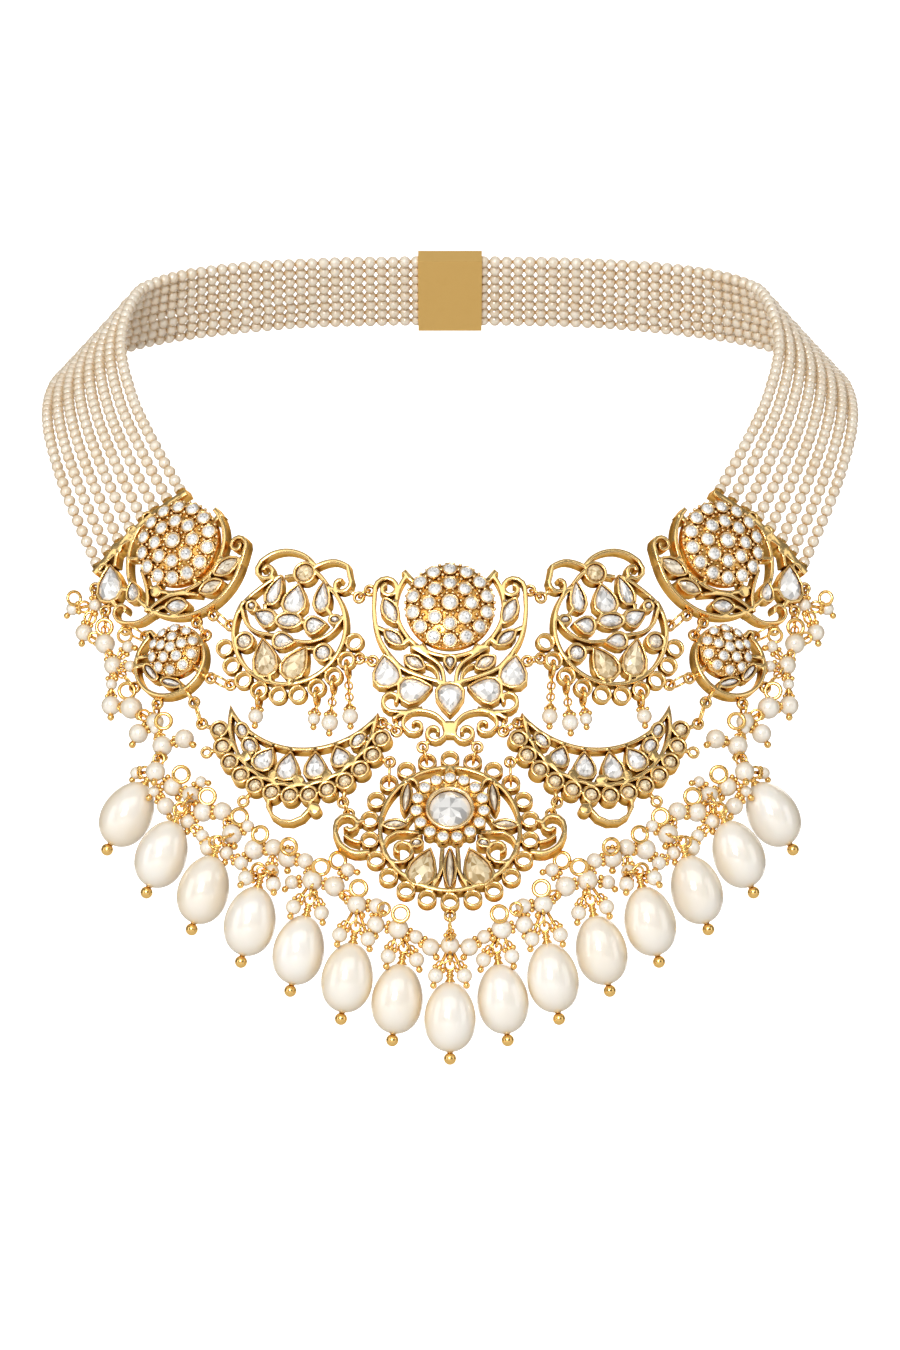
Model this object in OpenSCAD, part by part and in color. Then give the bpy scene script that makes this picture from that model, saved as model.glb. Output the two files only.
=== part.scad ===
// Kundan necklace: a bib of pierced gold plaques with cut stones, hung between
// two bundles of pearl strings, with wired pearls and large pearl drops below.
// Millimetres, +Z up, the wearer looks along -Y. Origin: centre of the neck hollow.
// The wearer's right side (left in the picture, -X) is drawn, the other is its mirror image.

/* [Plaques] */
// Depth of the pierced walls from back to rim
wall_deep = 3.2; // [2.6:0.1:4]
// Thickness of a pierced wall
wall_w = 1.0; // [0.8:0.05:1.2]
// Thickness of the metal round a stone
bezel_w = 0.7; // [0.5:0.05:0.8]
// Depth of a stone's cell below the rim
cell_deep = 1.3; // [1:0.1:1.6]
// Outer diameter of the open rings along the lower rims
loop_d = 4.2; // [3.8:0.1:4.4]
// Rise of a rosette's dome above its edge
dome_rise = 1.8; // [1:0.1:2.4]

/* [Stones] */
// Gap between a stone and its cell
stone_gap = 0.12; // [0.1:0.01:0.2]
// Height of a stone's flat edge
girdle = 0.7; // [0.4:0.1:0.9]
// Height of a stone's table above its flat edge
crown = 1.1; // [0.6:0.1:1.4]
// Size of a stone's table against its outline
table_part = 0.5; // [0.4:0.05:0.6]

/* [Strings of pearls] */
// Strings on each side
strings = 8; // [8:1:8]
// Diameter of a string's pearls
string_d = 2.7; // [2.4:0.1:2.8]

/* [Drops] */
// Large pearl's width
drop_w = 11.2; // [10.6:0.1:11.4]
// Large pearl's length
drop_l = 15.4; // [14:0.1:16]
// Hole through a large pearl
drill_d = 1.0; // [0.8:0.1:1.2]
// Wire of a drop's pin
pin_d = 0.7; // [0.5:0.1:0.8]
// Ball at the foot of a pin
ball_d = 2.7; // [2.2:0.1:3]

/* [Rings and wire] */
// Wire of a jump ring
ring_wire = 0.55; // [0.4:0.05:0.6]
// Outer diameter of a plaque's eyelets
eyelet_d = 2.8; // [2.6:0.1:3]
// Wire that carries the small pearls
fringe_wire = 0.6; // [0.5:0.1:0.8]

/* [Hidden] */
$fn = 40;
eps = 0.01;
eyelet_t = 0.9;
eyelet_mid = wall_deep / 2 - 0.2;
sides = ["left", "right"];
paired = ["lotus_plaque", "side_plaque", "rosette_plaque", "crescent",
    "lotus_stones", "side_stones", "rosette_stones", "crescent_stones"];

// Seats of the plaques: middle of the front rim, turn about Z, lean back of the top
centre_seat = [[0, -60, -55], 0, 20];
lotus_seat = [[-35.6, -54, -50.2], -14, 18];
side_seat = [[-59.3, -38.5, -33.7], -26, 18];
rosette_seat = [[-62.1, -46.5, -56.7], -24, 22];
crescent_seat = [[-33.4, -64, -75.9], -12, 25];
medallion_seat = [[0, -77.5, -93.7], 0, 30];

// Cells, one row each: outline, across, up, length, width, turn (degrees, tip up at 0)
centre_half_cells = [
    ["drop", 14.0, -4.8, 8.4, 6.9, -8],
    ["drop", 7.7, -9.1, 8.2, 7.0, 80],
    ["leaf", 13.2, 9.4, 7.2, 4.2, -24],
    ["leaf", 12.4, 3.1, 6.0, 3.6, -50],
    ["leaf", 7.8, -2.7, 5.8, 3.9, -58]];
centre_middle_cells = [
    ["drop", 0, -11.2, 8.2, 6.9, 180],
    ["drop", 0, -2.7, 4.0, 3.3, 180]];
lotus_cells = [
    ["round", 2.9, 13.0, 5.4, 5.4, 0],
    ["drop", -3.7, 9.2, 7.8, 4.2, -22],
    ["drop", 1.0, 7.0, 7.8, 6.2, -12],
    ["drop", 7.2, 7.3, 8.0, 4.4, -5],
    ["round", -8.9, 5.8, 2.9, 2.9, 0],
    ["drop", -5.9, 3.1, 6.2, 4.7, 62],
    ["oval", -0.2, 2.0, 6.7, 4.3, 85],
    ["drop", 5.9, 0.7, 5.6, 4.9, -84],
    ["oval", 10.3, 1.8, 3.3, 2.7, 88],
    ["drop", -1.1, -2.7, 5.9, 4.6, -98],
    ["round", -10.2, -2.4, 4.6, 4.6, 0],
    ["round", 7.9, -5.8, 4.6, 4.6, 0],
    ["drop", -5.3, -6.4, 9.8, 6.4, 9],
    ["drop", 1.9, -7.9, 9.0, 6.6, -31]];
side_cells = [
    ["drop", -18.6, -5.1, 9.6, 7.0, 4],
    ["drop", -12.5, -7.5, 5.6, 4.0, 10],
    ["leaf", -1.1, -11.8, 6.4, 4.4, 88],
    ["leaf", 7.1, -7.9, 6.6, 4.1, -70],
    ["leaf", 10.6, -3.4, 7.4, 4.6, -62]];
rosette_cells = [
    ["oval", -4.7, -2.9, 6.0, 2.9, 40],
    ["oval", 0.5, -5.8, 6.0, 2.9, 73]];
// The crescent's own picture stands level and is turned by crescent_turn afterwards
crescent_cells = [
    ["oval", -13.2, -6.0, 4.4, 3.4, 30],
    ["oval", -10.9, -9.6, 4.8, 4.0, 40],
    ["drop", -7.0, -12.5, 6.6, 5.6, -28],
    ["drop", -1.6, -14.0, 7.6, 5.8, -4],
    ["drop", 4.6, -13.4, 7.2, 5.6, 8],
    ["drop", 9.8, -10.9, 5.8, 5.2, 28],
    ["oval", 13.3, -6.8, 4.8, 3.6, -34]];
medallion_half_cells = [
    ["leaf", 12.0, 1.1, 6.2, 3.0, 88],
    ["leaf", 9.5, 7.8, 8.2, 3.1, 6],
    ["oval", 7.3, -3.5, 3.4, 2.6, 80],
    ["drop", 5.8, -9.4, 10.2, 7.0, 19]];
medallion_middle_cells = [
    ["round", 0, 4.8, 10.6, 10.6, 0],
    ["leaf", 0, -9.9, 10.8, 3.2, 0]];

// Frames and domes: centre and radius in the plaque's own picture
centre_ring = [[0, 10.6], 11.9];
centre_dome = [[0, 10.2], 9.8];
lotus_ring = [[0, 0], 12.8];
side_ring = [[0, 0], 14.4];
side_dome = [[-1.8, 2.7], 9.7];
rosette_ring = [[-0.3, -0.5], 8.3];
rosette_dome = [[1.0, 1.5], 6.0];
medallion_ring = [[0, 0], 15.2];
rim_loops = 22;
rim_loop_r = 17.6;
crescent_turn = -6;
crescent_mid = [0.9, 9];
crescent_low = [[0, -2], 16.9];
crescent_high = [[0, 10.3], 19.7];
fringe_cells = 13;
fringe_cell_d = 4.3;
fringe_cell_r = 18.9;

// Bosses on a dome, one row for each ring of them: number, radius of the ring, boss diameter
big_bosses = [[1, 0, 3.5], [8, 4.7, 2.5], [14, 8.3, 2.5]];
small_bosses = [[1, 0, 2.2], [5, 2.5, 2.0], [10, 4.8, 2.0]];

// The strand bar on the side plaque: its inner end, its run to the outer end, and its bow
bar_start = [-1.0, 15.2];
bar_run = [-21.8, -17.6];
bar_bow = 1.5;
cup_d = 2.4;
cup_l = 1.5;

// Routes of the first and the last string from the bar to the clasp
high_route = [[-67, -22, -8], [-72.5, -8, 3], [-76, 10, 15.5], [-74.5, 26, 26],
    [-70, 39, 31.5], [-55, 51, 35.5], [-31, 58, 37.5], [-8, 60, 38]];
low_route = [[-86.5, -20, -20], [-91.2, -6, -7], [-92.7, 10, 2], [-91, 28, 9],
    [-85, 45, 14], [-67, 62, 20], [-37, 73, 24], [-8, 76.5, 25]];
tube_sides = 8;
clasp_l = 15.2;
clasp_t = 3.4;

// Large drops from the middle outwards: across, up, lean outwards at the foot
drops = [[0, -134.4, 0], [-11.4, -130.6, 7], [-22.2, -126.0, 9], [-32.8, -120.2, 12],
    [-43.4, -114.0, 13], [-53.8, -107.4, 17], [-63.2, -99.8, 22], [-71.2, -91.2, 30]];
drop_stagger = 0.8;
neck_l = 2.0;
pin_loop_r = 1.1;
hook_r = 1.35;
rim_hook_r = 1.9;
flanked = 4;
flank_r = 1.7;
flank_out = 3.1;
flank_low = 2.4;
flank_front = 1.0;

// Small pearls, one row each: across, up, radius and, for one that lies in front, how far
side_fringe = [[-79.6, -44.8, 1.5], [-84.9, -45.6, 1.5], [-82.1, -51.0, 2.0], [-77.2, -53.5, 2.3],
    [-75.2, -58.4, 2.1], [-71.9, -54.2, 1.4], [-71.2, -58.6, 1.4], [-75.5, -62.6, 1.3],
    [-75.5, -67.3, 2.2], [-70.8, -67.8, 2.5], [-65.4, -70.9, 2.0], [-69.1, -73.5, 2.2],
    [-65.1, -72.4, 1.4], [-63.6, -76.2, 2.3], [-58.7, -74.6, 2.2], [-64.9, -81.8, 2.2, 3.9],
    [-69.4, -82.2, 1.4], [-61.1, -85.1, 2.2], [-57.0, -86.9, 2.0], [-65.2, -86.2, 1.3, 2],
    [-54.8, -84.0, 1.3], [-62.6, -89.4, 2.0], [-57.6, -92.7, 1.8], [-54.2, -90.6, 2.2],
    [-49.9, -90.4, 2.1], [-54.3, -95.8, 1.5], [-47.7, -95.4, 2.3], [-52.9, -98.4, 1.9],
    [-44.2, -93.6, 1.4], [-48.9, -99.5, 1.6], [-45.6, -101.6, 1.6], [-42.7, -98.6, 2.3],
    [-38.5, -98.2, 2.0], [-38.9, -103.4, 1.7]];
inner_fringe = [[-35.4, -100.4, 2.2], [-31.5, -101.0, 1.8], [-29.9, -105.2, 2.3], [-34.4, -105.6, 1.6],
    [-25.1, -106.4, 2.3], [-22.2, -102.9, 1.6], [-20.2, -110.3, 2.2],
    [-15.9, -110.6, 1.8], [-16.1, -114.6, 2.0], [-11.2, -115.5, 2.3], [-7.4, -117.2, 1.6],
    [-4.2, -119.4, 2.0]];
middle_pearl = [0, -119.0, 2.1];
// Pearls under the lotus plaque, one row each: rim ring that carries it, across, up, radius
lotus_fringe = [[3, -42.8, -69.6, 1.7], [6, -29.9, -70.2, 1.4], [7, -26.4, -71.0, 1.9], [8, -21.9, -69.6, 1.8]];

// Steps of a smoothed path, an outline and a spiral
path_steps = 3;
outline_steps = 12;
spiral_step = 32;

function unit(v) = v / norm(v);
function turn_z(p, a) = [p.x * cos(a) - p.y * sin(a), p.x * sin(a) + p.y * cos(a), p.z];
function turn_x(p, a) = [p.x, p.y * cos(a) - p.z * sin(a), p.y * sin(a) + p.z * cos(a)];
function polar(r, a) = r * [cos(a), sin(a)];
function mix(a, b, t) = a + (b - a) * t;

// A plaque is rolled a little in its own plane so that its picture stays upright from the front
function roll(seat) = asin(-sin(seat[1]) * sin(seat[2]) / (cos(seat[1]) + cos(seat[2])));
function world(seat, p) =
    seat[0] + turn_z(turn_x(turn_z([p.x, p.y, p.z - wall_deep], roll(seat)), 90 - seat[2]), seat[1]);
function face(seat) = world(seat, [0, 0, 1]) - world(seat, [0, 0, 0]);

// Smooth path through a few points
function bend(a, b, c, d, t) =
    0.5 * (2 * b + (c - a) * t + (2 * a - 5 * b + 4 * c - d) * t * t + (3 * b - a - 3 * c + d) * t * t * t);
function smooth(p, n = path_steps) = [
    for (i = [0:len(p) - 2], j = [0:n - 1])
        bend(p[max(i - 1, 0)], p[i], p[i + 1], p[min(i + 2, len(p) - 1)], j / n),
    p[len(p) - 1]];
function spiral(c, a0, a1, r0, r1) =
    let (n = ceil(abs(a1 - a0) / spiral_step))
    [for (i = [0:n]) c + polar(r0 + (r1 - r0) * i / n, a0 + (a1 - a0) * i / n)];
function arc(c, r, a0, a1) = spiral(c, a0, a1, r, r);
function across_path(p, i) =
    let (t = unit(p[min(i + 1, len(p) - 1)] - p[max(i - 1, 0)]))
    [-t.y, t.x];

// Outlines with their tip up, counter-clockwise
function outline(kind, l, w, n) = [
    for (i = [0:n - 1])
        let (a = 360 * i / n)
        kind == "drop" ? [-0.65 * w * sin(a) * sin(a / 2), l / 2 * cos(a)]
        : kind == "leaf" ? [-w / 2 * sin(a) * pow(abs(sin(a)), 0.6), l / 2 * cos(a)]
        : [-w / 2 * sin(a), l / 2 * cos(a)]];

module on_side(side) {
    if (side == "left") children();
    else mirror([1, 0, 0]) children();
}

module seated(seat) {
    translate(seat[0])
        rotate([90 - seat[2], 0, seat[1]])
            rotate([0, 0, roll(seat)])
                translate([0, 0, -wall_deep])
                    children();
}

// A wall of constant thickness along a path
module rib(path, w = wall_w) {
    left = [for (i = [0:len(path) - 1]) path[i] + across_path(path, i) * w / 2];
    right = [for (i = [len(path) - 1:-1:0]) path[i] - across_path(path, i) * w / 2];
    polygon(concat(left, right));
}

// A round wall, and a round wall left open between two angles
module hoop(c, r, w = wall_w) {
    translate(c)
        difference() {
            circle(r = r + w / 2);
            circle(r = r - w / 2);
        }
}

module open_hoop(c, r, gap_from, gap_to, w = wall_w) {
    steps = 6;
    difference() {
        hoop(c, r, w);
        translate(c)
            polygon(concat([[0, 0]],
                [for (i = [0:steps]) polar(r * 1.6, gap_from + (gap_to - gap_from) * i / steps)]));
    }
}

module cell_outline(row, inset = 0) {
    l = row[3] - 2 * inset;
    w = row[4] - 2 * inset;
    translate([row[1], row[2]])
        rotate(row[5])
            if (row[0] == "round") circle(d = l);
            else polygon(outline(row[0], l, w, outline_steps));
}

module cells(rows) {
    for (row = rows) cell_outline(row);
}

module pockets(rows) {
    for (row = rows)
        translate([0, 0, wall_deep - cell_deep])
            linear_extrude(cell_deep + 1)
                cell_outline(row, bezel_w);
}

// A flat-backed stone with a girdle, one row of facets and a table
module cut_stone(kind, l, w) {
    n = outline_steps;
    line = outline(kind, l, w, n);
    levels = [[0, 1], [girdle, 1], [girdle + crown, table_part]];
    points = [for (level = levels, p = line) [p.x * level[1], p.y * level[1], level[0]]];
    walls = [
        for (k = [0:1], i = [0:n - 1])
            let (j = (i + 1) % n)
            each [[k * n + i, k * n + n + i, k * n + n + j], [k * n + i, k * n + n + j, k * n + j]]];
    polyhedron(points, concat(
        [[for (i = [0:n - 1]) i]],
        [[for (i = [n - 1:-1:0]) 2 * n + i]],
        walls));
}

module stones(rows) {
    trim = 2 * (bezel_w + stone_gap);
    for (row = rows)
        translate([row[1], row[2], wall_deep - cell_deep + 0.1])
            rotate(row[5])
                cut_stone(row[0], row[3] - trim, row[4] - trim);
}

// Eyelet: place, and for one that stands off also the point its arm reaches
module eyelet(row) {
    p = [row[0], row[1]];
    r = eyelet_d * 3 / 8;
    translate([0, 0, eyelet_mid - eyelet_t / 2])
        linear_extrude(eyelet_t) {
            hoop(p, r, eyelet_d / 4);
            if (len(row) > 2) {
                q = [row[2], row[3]];
                rib([p + unit(q - p) * r, q], 0.9);
            }
        }
}

// Open rings of the lower rims, a little lower than the frames
module loops(points, d = loop_d) {
    translate([0, 0, 0.5])
        linear_extrude(wall_deep - 1)
            for (p = points) hoop(p, d / 2 - 0.35, 0.7);
}

// A domed disc with round bosses for its field of stones
module rosette(dome, bosses) {
    r = dome[1];
    edge = wall_deep + 0.3;
    big_r = (r * r + dome_rise * dome_rise) / (2 * dome_rise);
    translate([dome[0].x, dome[0].y, 0]) {
        translate([0, 0, 1])
            cylinder(r = r, h = edge - 1);
        translate([0, 0, edge - eps])
            intersection() {
                translate([0, 0, dome_rise - big_r])
                    sphere(r = big_r);
                cylinder(r = r - 0.05, h = dome_rise + 1);
            }
        for (row = bosses, i = [0:row[0] - 1])
            let (p = polar(row[1], 360 * i / row[0] + 90), top = sqrt(big_r * big_r - row[1] * row[1]) - big_r)
            translate([p.x, p.y, edge])
                cylinder(d = row[2], h = dome_rise + top + 0.35);
    }
}

function mirrored_cells(rows) = [for (r = rows) [r[0], -r[1], r[2], r[3], r[4], -r[5]]];

centre_cells = concat(centre_half_cells, mirrored_cells(centre_half_cells), centre_middle_cells);
medallion_cells = concat(medallion_half_cells, mirrored_cells(medallion_half_cells), medallion_middle_cells);

// Walls of the centre plaque, right half
centre_arm = concat(
    spiral([13.8, 14.7], 450, 0, 0.8, 2.8),
    smooth([[16.8, 10.5], [16.4, 6], [15.2, 2], [13, -1.4], [10.2, -4.3], [6.6, -5.9], [2.6, -7.2], [0, -8]]));
centre_side_scroll = concat(
    smooth([[6.0, -13.4], [9.4, -14.2]]), spiral([12.6, -11.5], 255, 590, 2.8, 0.7));
centre_low_scroll = concat(
    smooth([[12.6, -15.9], [9.6, -14.5], [6.3, -14.0], [3.3, -14.8], [1.4, -16.6]]),
    spiral([3.4, -19.0], 175, 560, 2.5, 0.7));
centre_small_scroll = concat(
    smooth([[8.6, -14.4], [10.1, -15.8], [10.2, -17.6], [9.0, -19.0]]),
    spiral([7.5, -17.5], 280, 20, 1.75, 0.6));
centre_stem = smooth([[8.6, 1.0], [5.4, -1.0], [2.9, -2.7], [1.6, -4.8], [1.2, -8.2]]);
centre_inner_stem = smooth([[5.5, -3.2], [3.9, -3.8], [2.7, -5.4], [2.4, -8]]);
centre_eyelets = [[17.7, 14.7], [17.0, -1.9, 15.0, -2.4], [11.7, -18.3, 11.7, -15.5], [6.0, -22.0, 4.6, -20.7]];

module centre_walls_half() {
    rib(centre_arm);
    rib(centre_side_scroll, 0.9);
    rib(centre_low_scroll, 0.9);
    rib(centre_small_scroll, 0.8);
    rib(centre_stem, 0.9);
    rib(centre_inner_stem, 0.7);
    rib([[14.3, 4.7], [16.0, 5.5]], 1);
    rib([[10.5, 1.4], [9.2, 2.6]], 1);
}

module centre_plaque() {
    color("goldenrod")
        seated(centre_seat) {
            difference() {
                linear_extrude(wall_deep) {
                    open_hoop(centre_ring[0], centre_ring[1], 38, 142);
                    cells(centre_cells);
                    centre_walls_half();
                    mirror([1, 0]) centre_walls_half();
                    for (s = [-1, 1]) {
                        translate([s * 9.1, 17.4]) rotate(-s * 40) square([1.2, 3.6], center = true);
                        translate([s * 5.4, 0.4]) rotate(-s * 30) square([1, 3], center = true);
                    }
                    translate([0, -18.2]) square([1.8, 3.6], center = true);
                }
                pockets(centre_cells);
            }
            rosette(centre_dome, big_bosses);
            for (p = centre_eyelets) {
                eyelet(p);
                mirror([1, 0, 0]) eyelet(p);
            }
        }
}

module centre_stones() {
    color("white") seated(centre_seat) stones(centre_cells);
}

// Walls of the lotus plaque
lotus_right_scroll = concat(
    smooth([[5.0, 14.2], [7.4, 15.2], [10, 15.4], [12.7, 14.2]]),
    spiral([11.3, 10.1], 40, -290, 2.5, 0.7));
lotus_left_scroll = concat(
    smooth([[5.2, 14.6], [3.6, 16.4], [1.2, 17.8], [-1.8, 18.4], [-4.8, 17.8], [-7.2, 16.2]]),
    spiral([-5.9, 13.9], 165, 545, 2.3, 0.6));
lotus_boat = smooth([[-11.2, 5.6], [-10.0, 1.9], [-7.5, -0.4], [-3.5, -1.3], [0.6, -2.6],
    [4.5, -3.2], [8.2, -2.2], [10.6, -0.2], [12.2, 2.6]]);
lotus_low_loops = [for (i = [0:9]) polar(15.2, 194 + 17 * i)];
lotus_eyelets = [[15.2, 7.2, 13.0, 8.8], [15.9, -7.0], [-14.0, 1.9], [-13.3, -12.0]];

module lotus_plaque() {
    color("goldenrod")
        seated(lotus_seat) {
            difference() {
                linear_extrude(wall_deep) {
                    open_hoop(lotus_ring[0], lotus_ring[1], 49, 148);
                    cells(lotus_cells);
                    rib(lotus_right_scroll);
                    rib(lotus_left_scroll);
                    rib(lotus_boat, 0.9);
                    rib(smooth([[8.2, 9.8], [6.8, 11.8], [4.6, 14]]));
                    rib(smooth([[-10.9, 6.5], [-8.2, 9.0], [-4.6, 11.6], [-2.4, 12.4]]), 0.9);
                    rib([[-4.0, 12.6], [-4.6, 11.4]], 1.2);
                    rib([[-1.6, 12.2], [1.2, 12.6]], 0.9);
                    rib([[8.2, 4.6], [9.6, 2.6]], 0.9);
                    rib([[-7.6, 5.2], [-9.4, 5.6]], 0.9);
                    rib([[-6.0, 6.2], [-5.6, 4.4]], 0.9);
                    rib([[-4.0, -10.6], [-3.6, -12.6]], 0.9);
                    rib([[0.6, -11.4], [0.4, -13]], 0.9);
                    rib([[9.4, -7.0], [10.8, -7.8]], 0.9);
                    rib([[3.4, -4.6], [6.2, -4.8]], 0.9);
                    rib([[2.4, 1.5], [4.2, 1.0]], 0.9);
                }
                pockets(lotus_cells);
            }
            loops(lotus_low_loops);
            for (p = lotus_eyelets) eyelet(p);
        }
}

module lotus_stones() {
    color("white") seated(lotus_seat) stones(lotus_cells);
}

// Walls of the side plaque
function bar_point(t) = bar_start + bar_run * t + bar_bow * sin(180 * t) * [-0.63, 0.78];
side_right_scroll = concat([[14.3, -2.6]], spiral([12.9, 1.5], -10, 400, 2.2, 0.6));
side_low_scroll = concat(
    spiral([-15.0, -11.9], -30, 230, 0.8, 2.0),
    smooth([[-15.6, -14.2], [-13.2, -14.9], [-10.2, -14.8], [-7.4, -13.2]]));
side_stems = [
    smooth([[-8.7, -12.6], [-8.5, -9.6], [-9.3, -6.2], [-10.8, -2.4]]),
    smooth([[-8.3, -12.4], [-5.9, -10.6], [-3.2, -9.3], [0.4, -9.0], [4.4, -9.6]]),
    smooth([[-7.4, -13.4], [-5.2, -12.0], [-3.4, -11.8]])];
side_arch = smooth([[-17.6, -1.2], [-17.3, 2.2], [-15.7, 4.4], [-12.9, 5.2]]);
side_pearl = [-6.5, -7.9];
bar_loops = [[-6.2, 10.6], [-10.4, 10.0], [-13.9, 6.9], [-17.6, 3.1], [-20.8, -1.2]];
side_eyelets = [[7.6, -14.2], [-14.2, -16.0], [3.6, -15.6], [-19.9, -11.0, -18.5, -9.5], [-23.0, -5.4]];

module side_plaque() {
    color("goldenrod")
        seated(side_seat) {
            difference() {
                linear_extrude(wall_deep) {
                    open_hoop(side_ring[0], side_ring[1], -6, 138);
                    open_hoop(side_dome[0], 11.3, 44, 236);
                    cells(side_cells);
                    rib(side_right_scroll, 0.9);
                    rib(side_low_scroll, 0.9);
                    rib(side_arch, 0.9);
                    for (path = side_stems) rib(path, 0.9);
                    translate(side_pearl) circle(d = 2.9);
                    rib([[-6.5, -7.9], [-6.0, -5.4]], 0.9);
                    rib([[-15.6, -6.6], [-14.0, -7.0]], 1);
                    rib([[-20.4, -0.2], [-18.4, 1.6], [-17.2, 2.4]], 0.9);
                    rib([[-17.6, -9.2], [-16.4, -10.6]], 1);
                    rib([[8.6, -0.4], [9.6, -1.8]], 0.9);
                    rib([[6.4, -5.2], [7.0, -6.6]], 0.9);
                    rib([[-11.6, 0.2], [-14.4, 0.4]], 0.9);
                    rib([[6.4, 7.4], [8.2, 9.2]], 1.2);
                    rib([[2.6, -5.4], [3.8, -7.6]], 1);
                    rib([for (i = [0:12]) bar_point(i / 12)], 1.6);
                    for (p = bar_loops) hoop(p, 1.15, 0.7);
                }
                pockets(side_cells);
            }
            rosette(side_dome, big_bosses);
            for (p = side_eyelets) eyelet(p);
        }
    for (i = [0:strings - 1]) strand_cup(i);
}

module side_stones() {
    color("white") seated(side_seat) stones(side_cells);
}

// Small rosette plaque
rosette_eyelets = [[9.5, -4.9, 7.3, -3.9], [6.0, -10.4, 3.9, -7.6], [-7.6, 6.6], [7.3, 5.6], [-9.0, -5.6], [-3.0, -10.0]];

module rosette_plaque() {
    color("goldenrod")
        seated(rosette_seat) {
            difference() {
                linear_extrude(wall_deep) {
                    open_hoop(rosette_ring[0], rosette_ring[1], 52, 132);
                    cells(rosette_cells);
                    rib(smooth([[-6.0, 5.4], [-6.6, 6.6], [-5.6, 7.0], [-4.4, 5.4]]), 0.9);
                    rib(smooth([[4.6, 6.2], [3.6, 6.6], [2.4, 6.6]]), 0.9);
                    rib([[-4.9, 1.2], [-8.4, 0.8]], 1);
                    rib([[5.6, -2.4], [7.4, -3.4]], 1);
                    rib([[-6.6, -1.0], [-8.2, -1.2]], 1);
                    rib([[3.0, -6.8], [3.6, -8.0]], 1);
                }
                pockets(rosette_cells);
            }
            rosette(rosette_dome, small_bosses);
            for (p = rosette_eyelets) eyelet(p);
        }
}

module rosette_stones() {
    color("white") seated(rosette_seat) stones(rosette_cells);
}

// Crescent: a lune between two circles, with a row of round cells outside the lower one
module lune(inset) {
    difference() {
        translate(crescent_low[0]) circle(r = crescent_low[1] - inset, $fn = 90);
        translate(crescent_high[0]) circle(r = crescent_high[1] + inset, $fn = 90);
    }
}

fringe_rows = [
    for (i = [0:fringe_cells - 1])
        let (p = crescent_low[0] + polar(fringe_cell_r, 270 + (i - (fringe_cells - 1) / 2) * 12.9))
        ["round", p.x, p.y, fringe_cell_d, fringe_cell_d, 0]];
crescent_rows = concat(crescent_cells, fringe_rows);
low_crescent = arc([0.2, -22.4], 4.9, 170, 370);
crescent_eyelets = [[-23.0, -4.4, -20.1, -5.5], [17.6, -1.8], [20.8, -11.0, 18.8, -10.5],
    [11.8, -21.2, 11.8, -18.5], [-20.8, -11.2, -18.7, -10.6], [-10.6, -22.4, -9.2, -20.4]];
crescent_struts = [[-11.2, -12.2], [-4.4, -16.4], [1.4, -17.2], [7.4, -15.4], [12.2, -11.6]];

module crescent_place() {
    seated(crescent_seat)
        translate([crescent_mid.x, crescent_mid.y, 0])
            rotate(crescent_turn)
                children();
}

module crescent() {
    color("goldenrod")
        crescent_place() {
            difference() {
                linear_extrude(wall_deep) {
                    difference() {
                        lune(0);
                        lune(0.95);
                    }
                    cells(crescent_rows);
                    rib(low_crescent, 0.9);
                    for (p = crescent_struts) translate(p) circle(d = 2.6);
                    translate([6.0, -23.8]) circle(d = 2.8);
                }
                pockets(crescent_rows);
            }
            for (p = crescent_eyelets) eyelet(p);
        }
}

module crescent_stones() {
    color("white") crescent_place() stones(crescent_rows);
}

// Walls of the medallion, right half
medallion_scroll = concat([[6.6, -0.9]], spiral([10.7, -5.2], 108, -440, 4.6, 0.6));
medallion_struts = [
    smooth([[1.6, -4.2], [1.9, -7.4], [2.2, -11.0], [4.2, -14.9]]),
    smooth([[10.2, 11.2], [9.2, 12.4], [7.4, 11.8], [6.6, 9.6]])];
paisley = concat(
    smooth([[17.4, -5.6], [20.6, -5.9], [23.6, -4.0], [24.9, -0.8]]),
    spiral([22.0, 0.9], -10, 330, 3.0, 0.8));
paisley_inner = smooth([[19.4, -3.4], [21.4, -2.8], [22.9, -1.6]]);
scallops = 15;
medallion_eyelets = [[-22.0, 4.4], [22.0, 4.4], [0, -20.6]];

module medallion_walls_half() {
    rib(medallion_scroll, 0.9);
    for (path = medallion_struts) rib(path, 0.9);
    rib(paisley, 1.1);
    rib(paisley_inner, 0.9);
    rib([[18.6, 2.2], [20.2, 1.6]], 1);
    rib([[8.2, 3.4], [9.4, 1.6]], 0.9);
    rib([[13.8, 1.2], [15.4, 1.4]], 1.2);
    rib([[7.2, -2.6], [6.2, -1.4]], 0.9);
    rib([[7.6, -13.2], [8.2, -13.8]], 1.2);
}

module medallion() {
    cup = medallion_middle_cells[0];
    color("goldenrod")
        seated(medallion_seat) {
            difference() {
                linear_extrude(wall_deep) {
                    hoop(medallion_ring[0], medallion_ring[1]);
                    cells(medallion_cells);
                    translate([cup[1], cup[2]]) circle(r = 7.6);
                    medallion_walls_half();
                    mirror([1, 0]) medallion_walls_half();
                    rib([[0, 11.8], [0, 15]], 2.4);
                }
                pockets(medallion_cells);
            }
            for (i = [0:scallops - 1])
                let (p = [cup[1], cup[2]] + polar(7.4, 360 * i / scallops + 90))
                translate([p.x, p.y, 0.6])
                    cylinder(d = 2.7, h = wall_deep - 0.4);
            loops([for (i = [0:rim_loops - 1]) polar(rim_loop_r, 360 * i / rim_loops + 90)]);
            for (p = medallion_eyelets) eyelet(p);
        }
}

module medallion_stones() {
    color("white") seated(medallion_seat) stones(medallion_cells);
}

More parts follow.
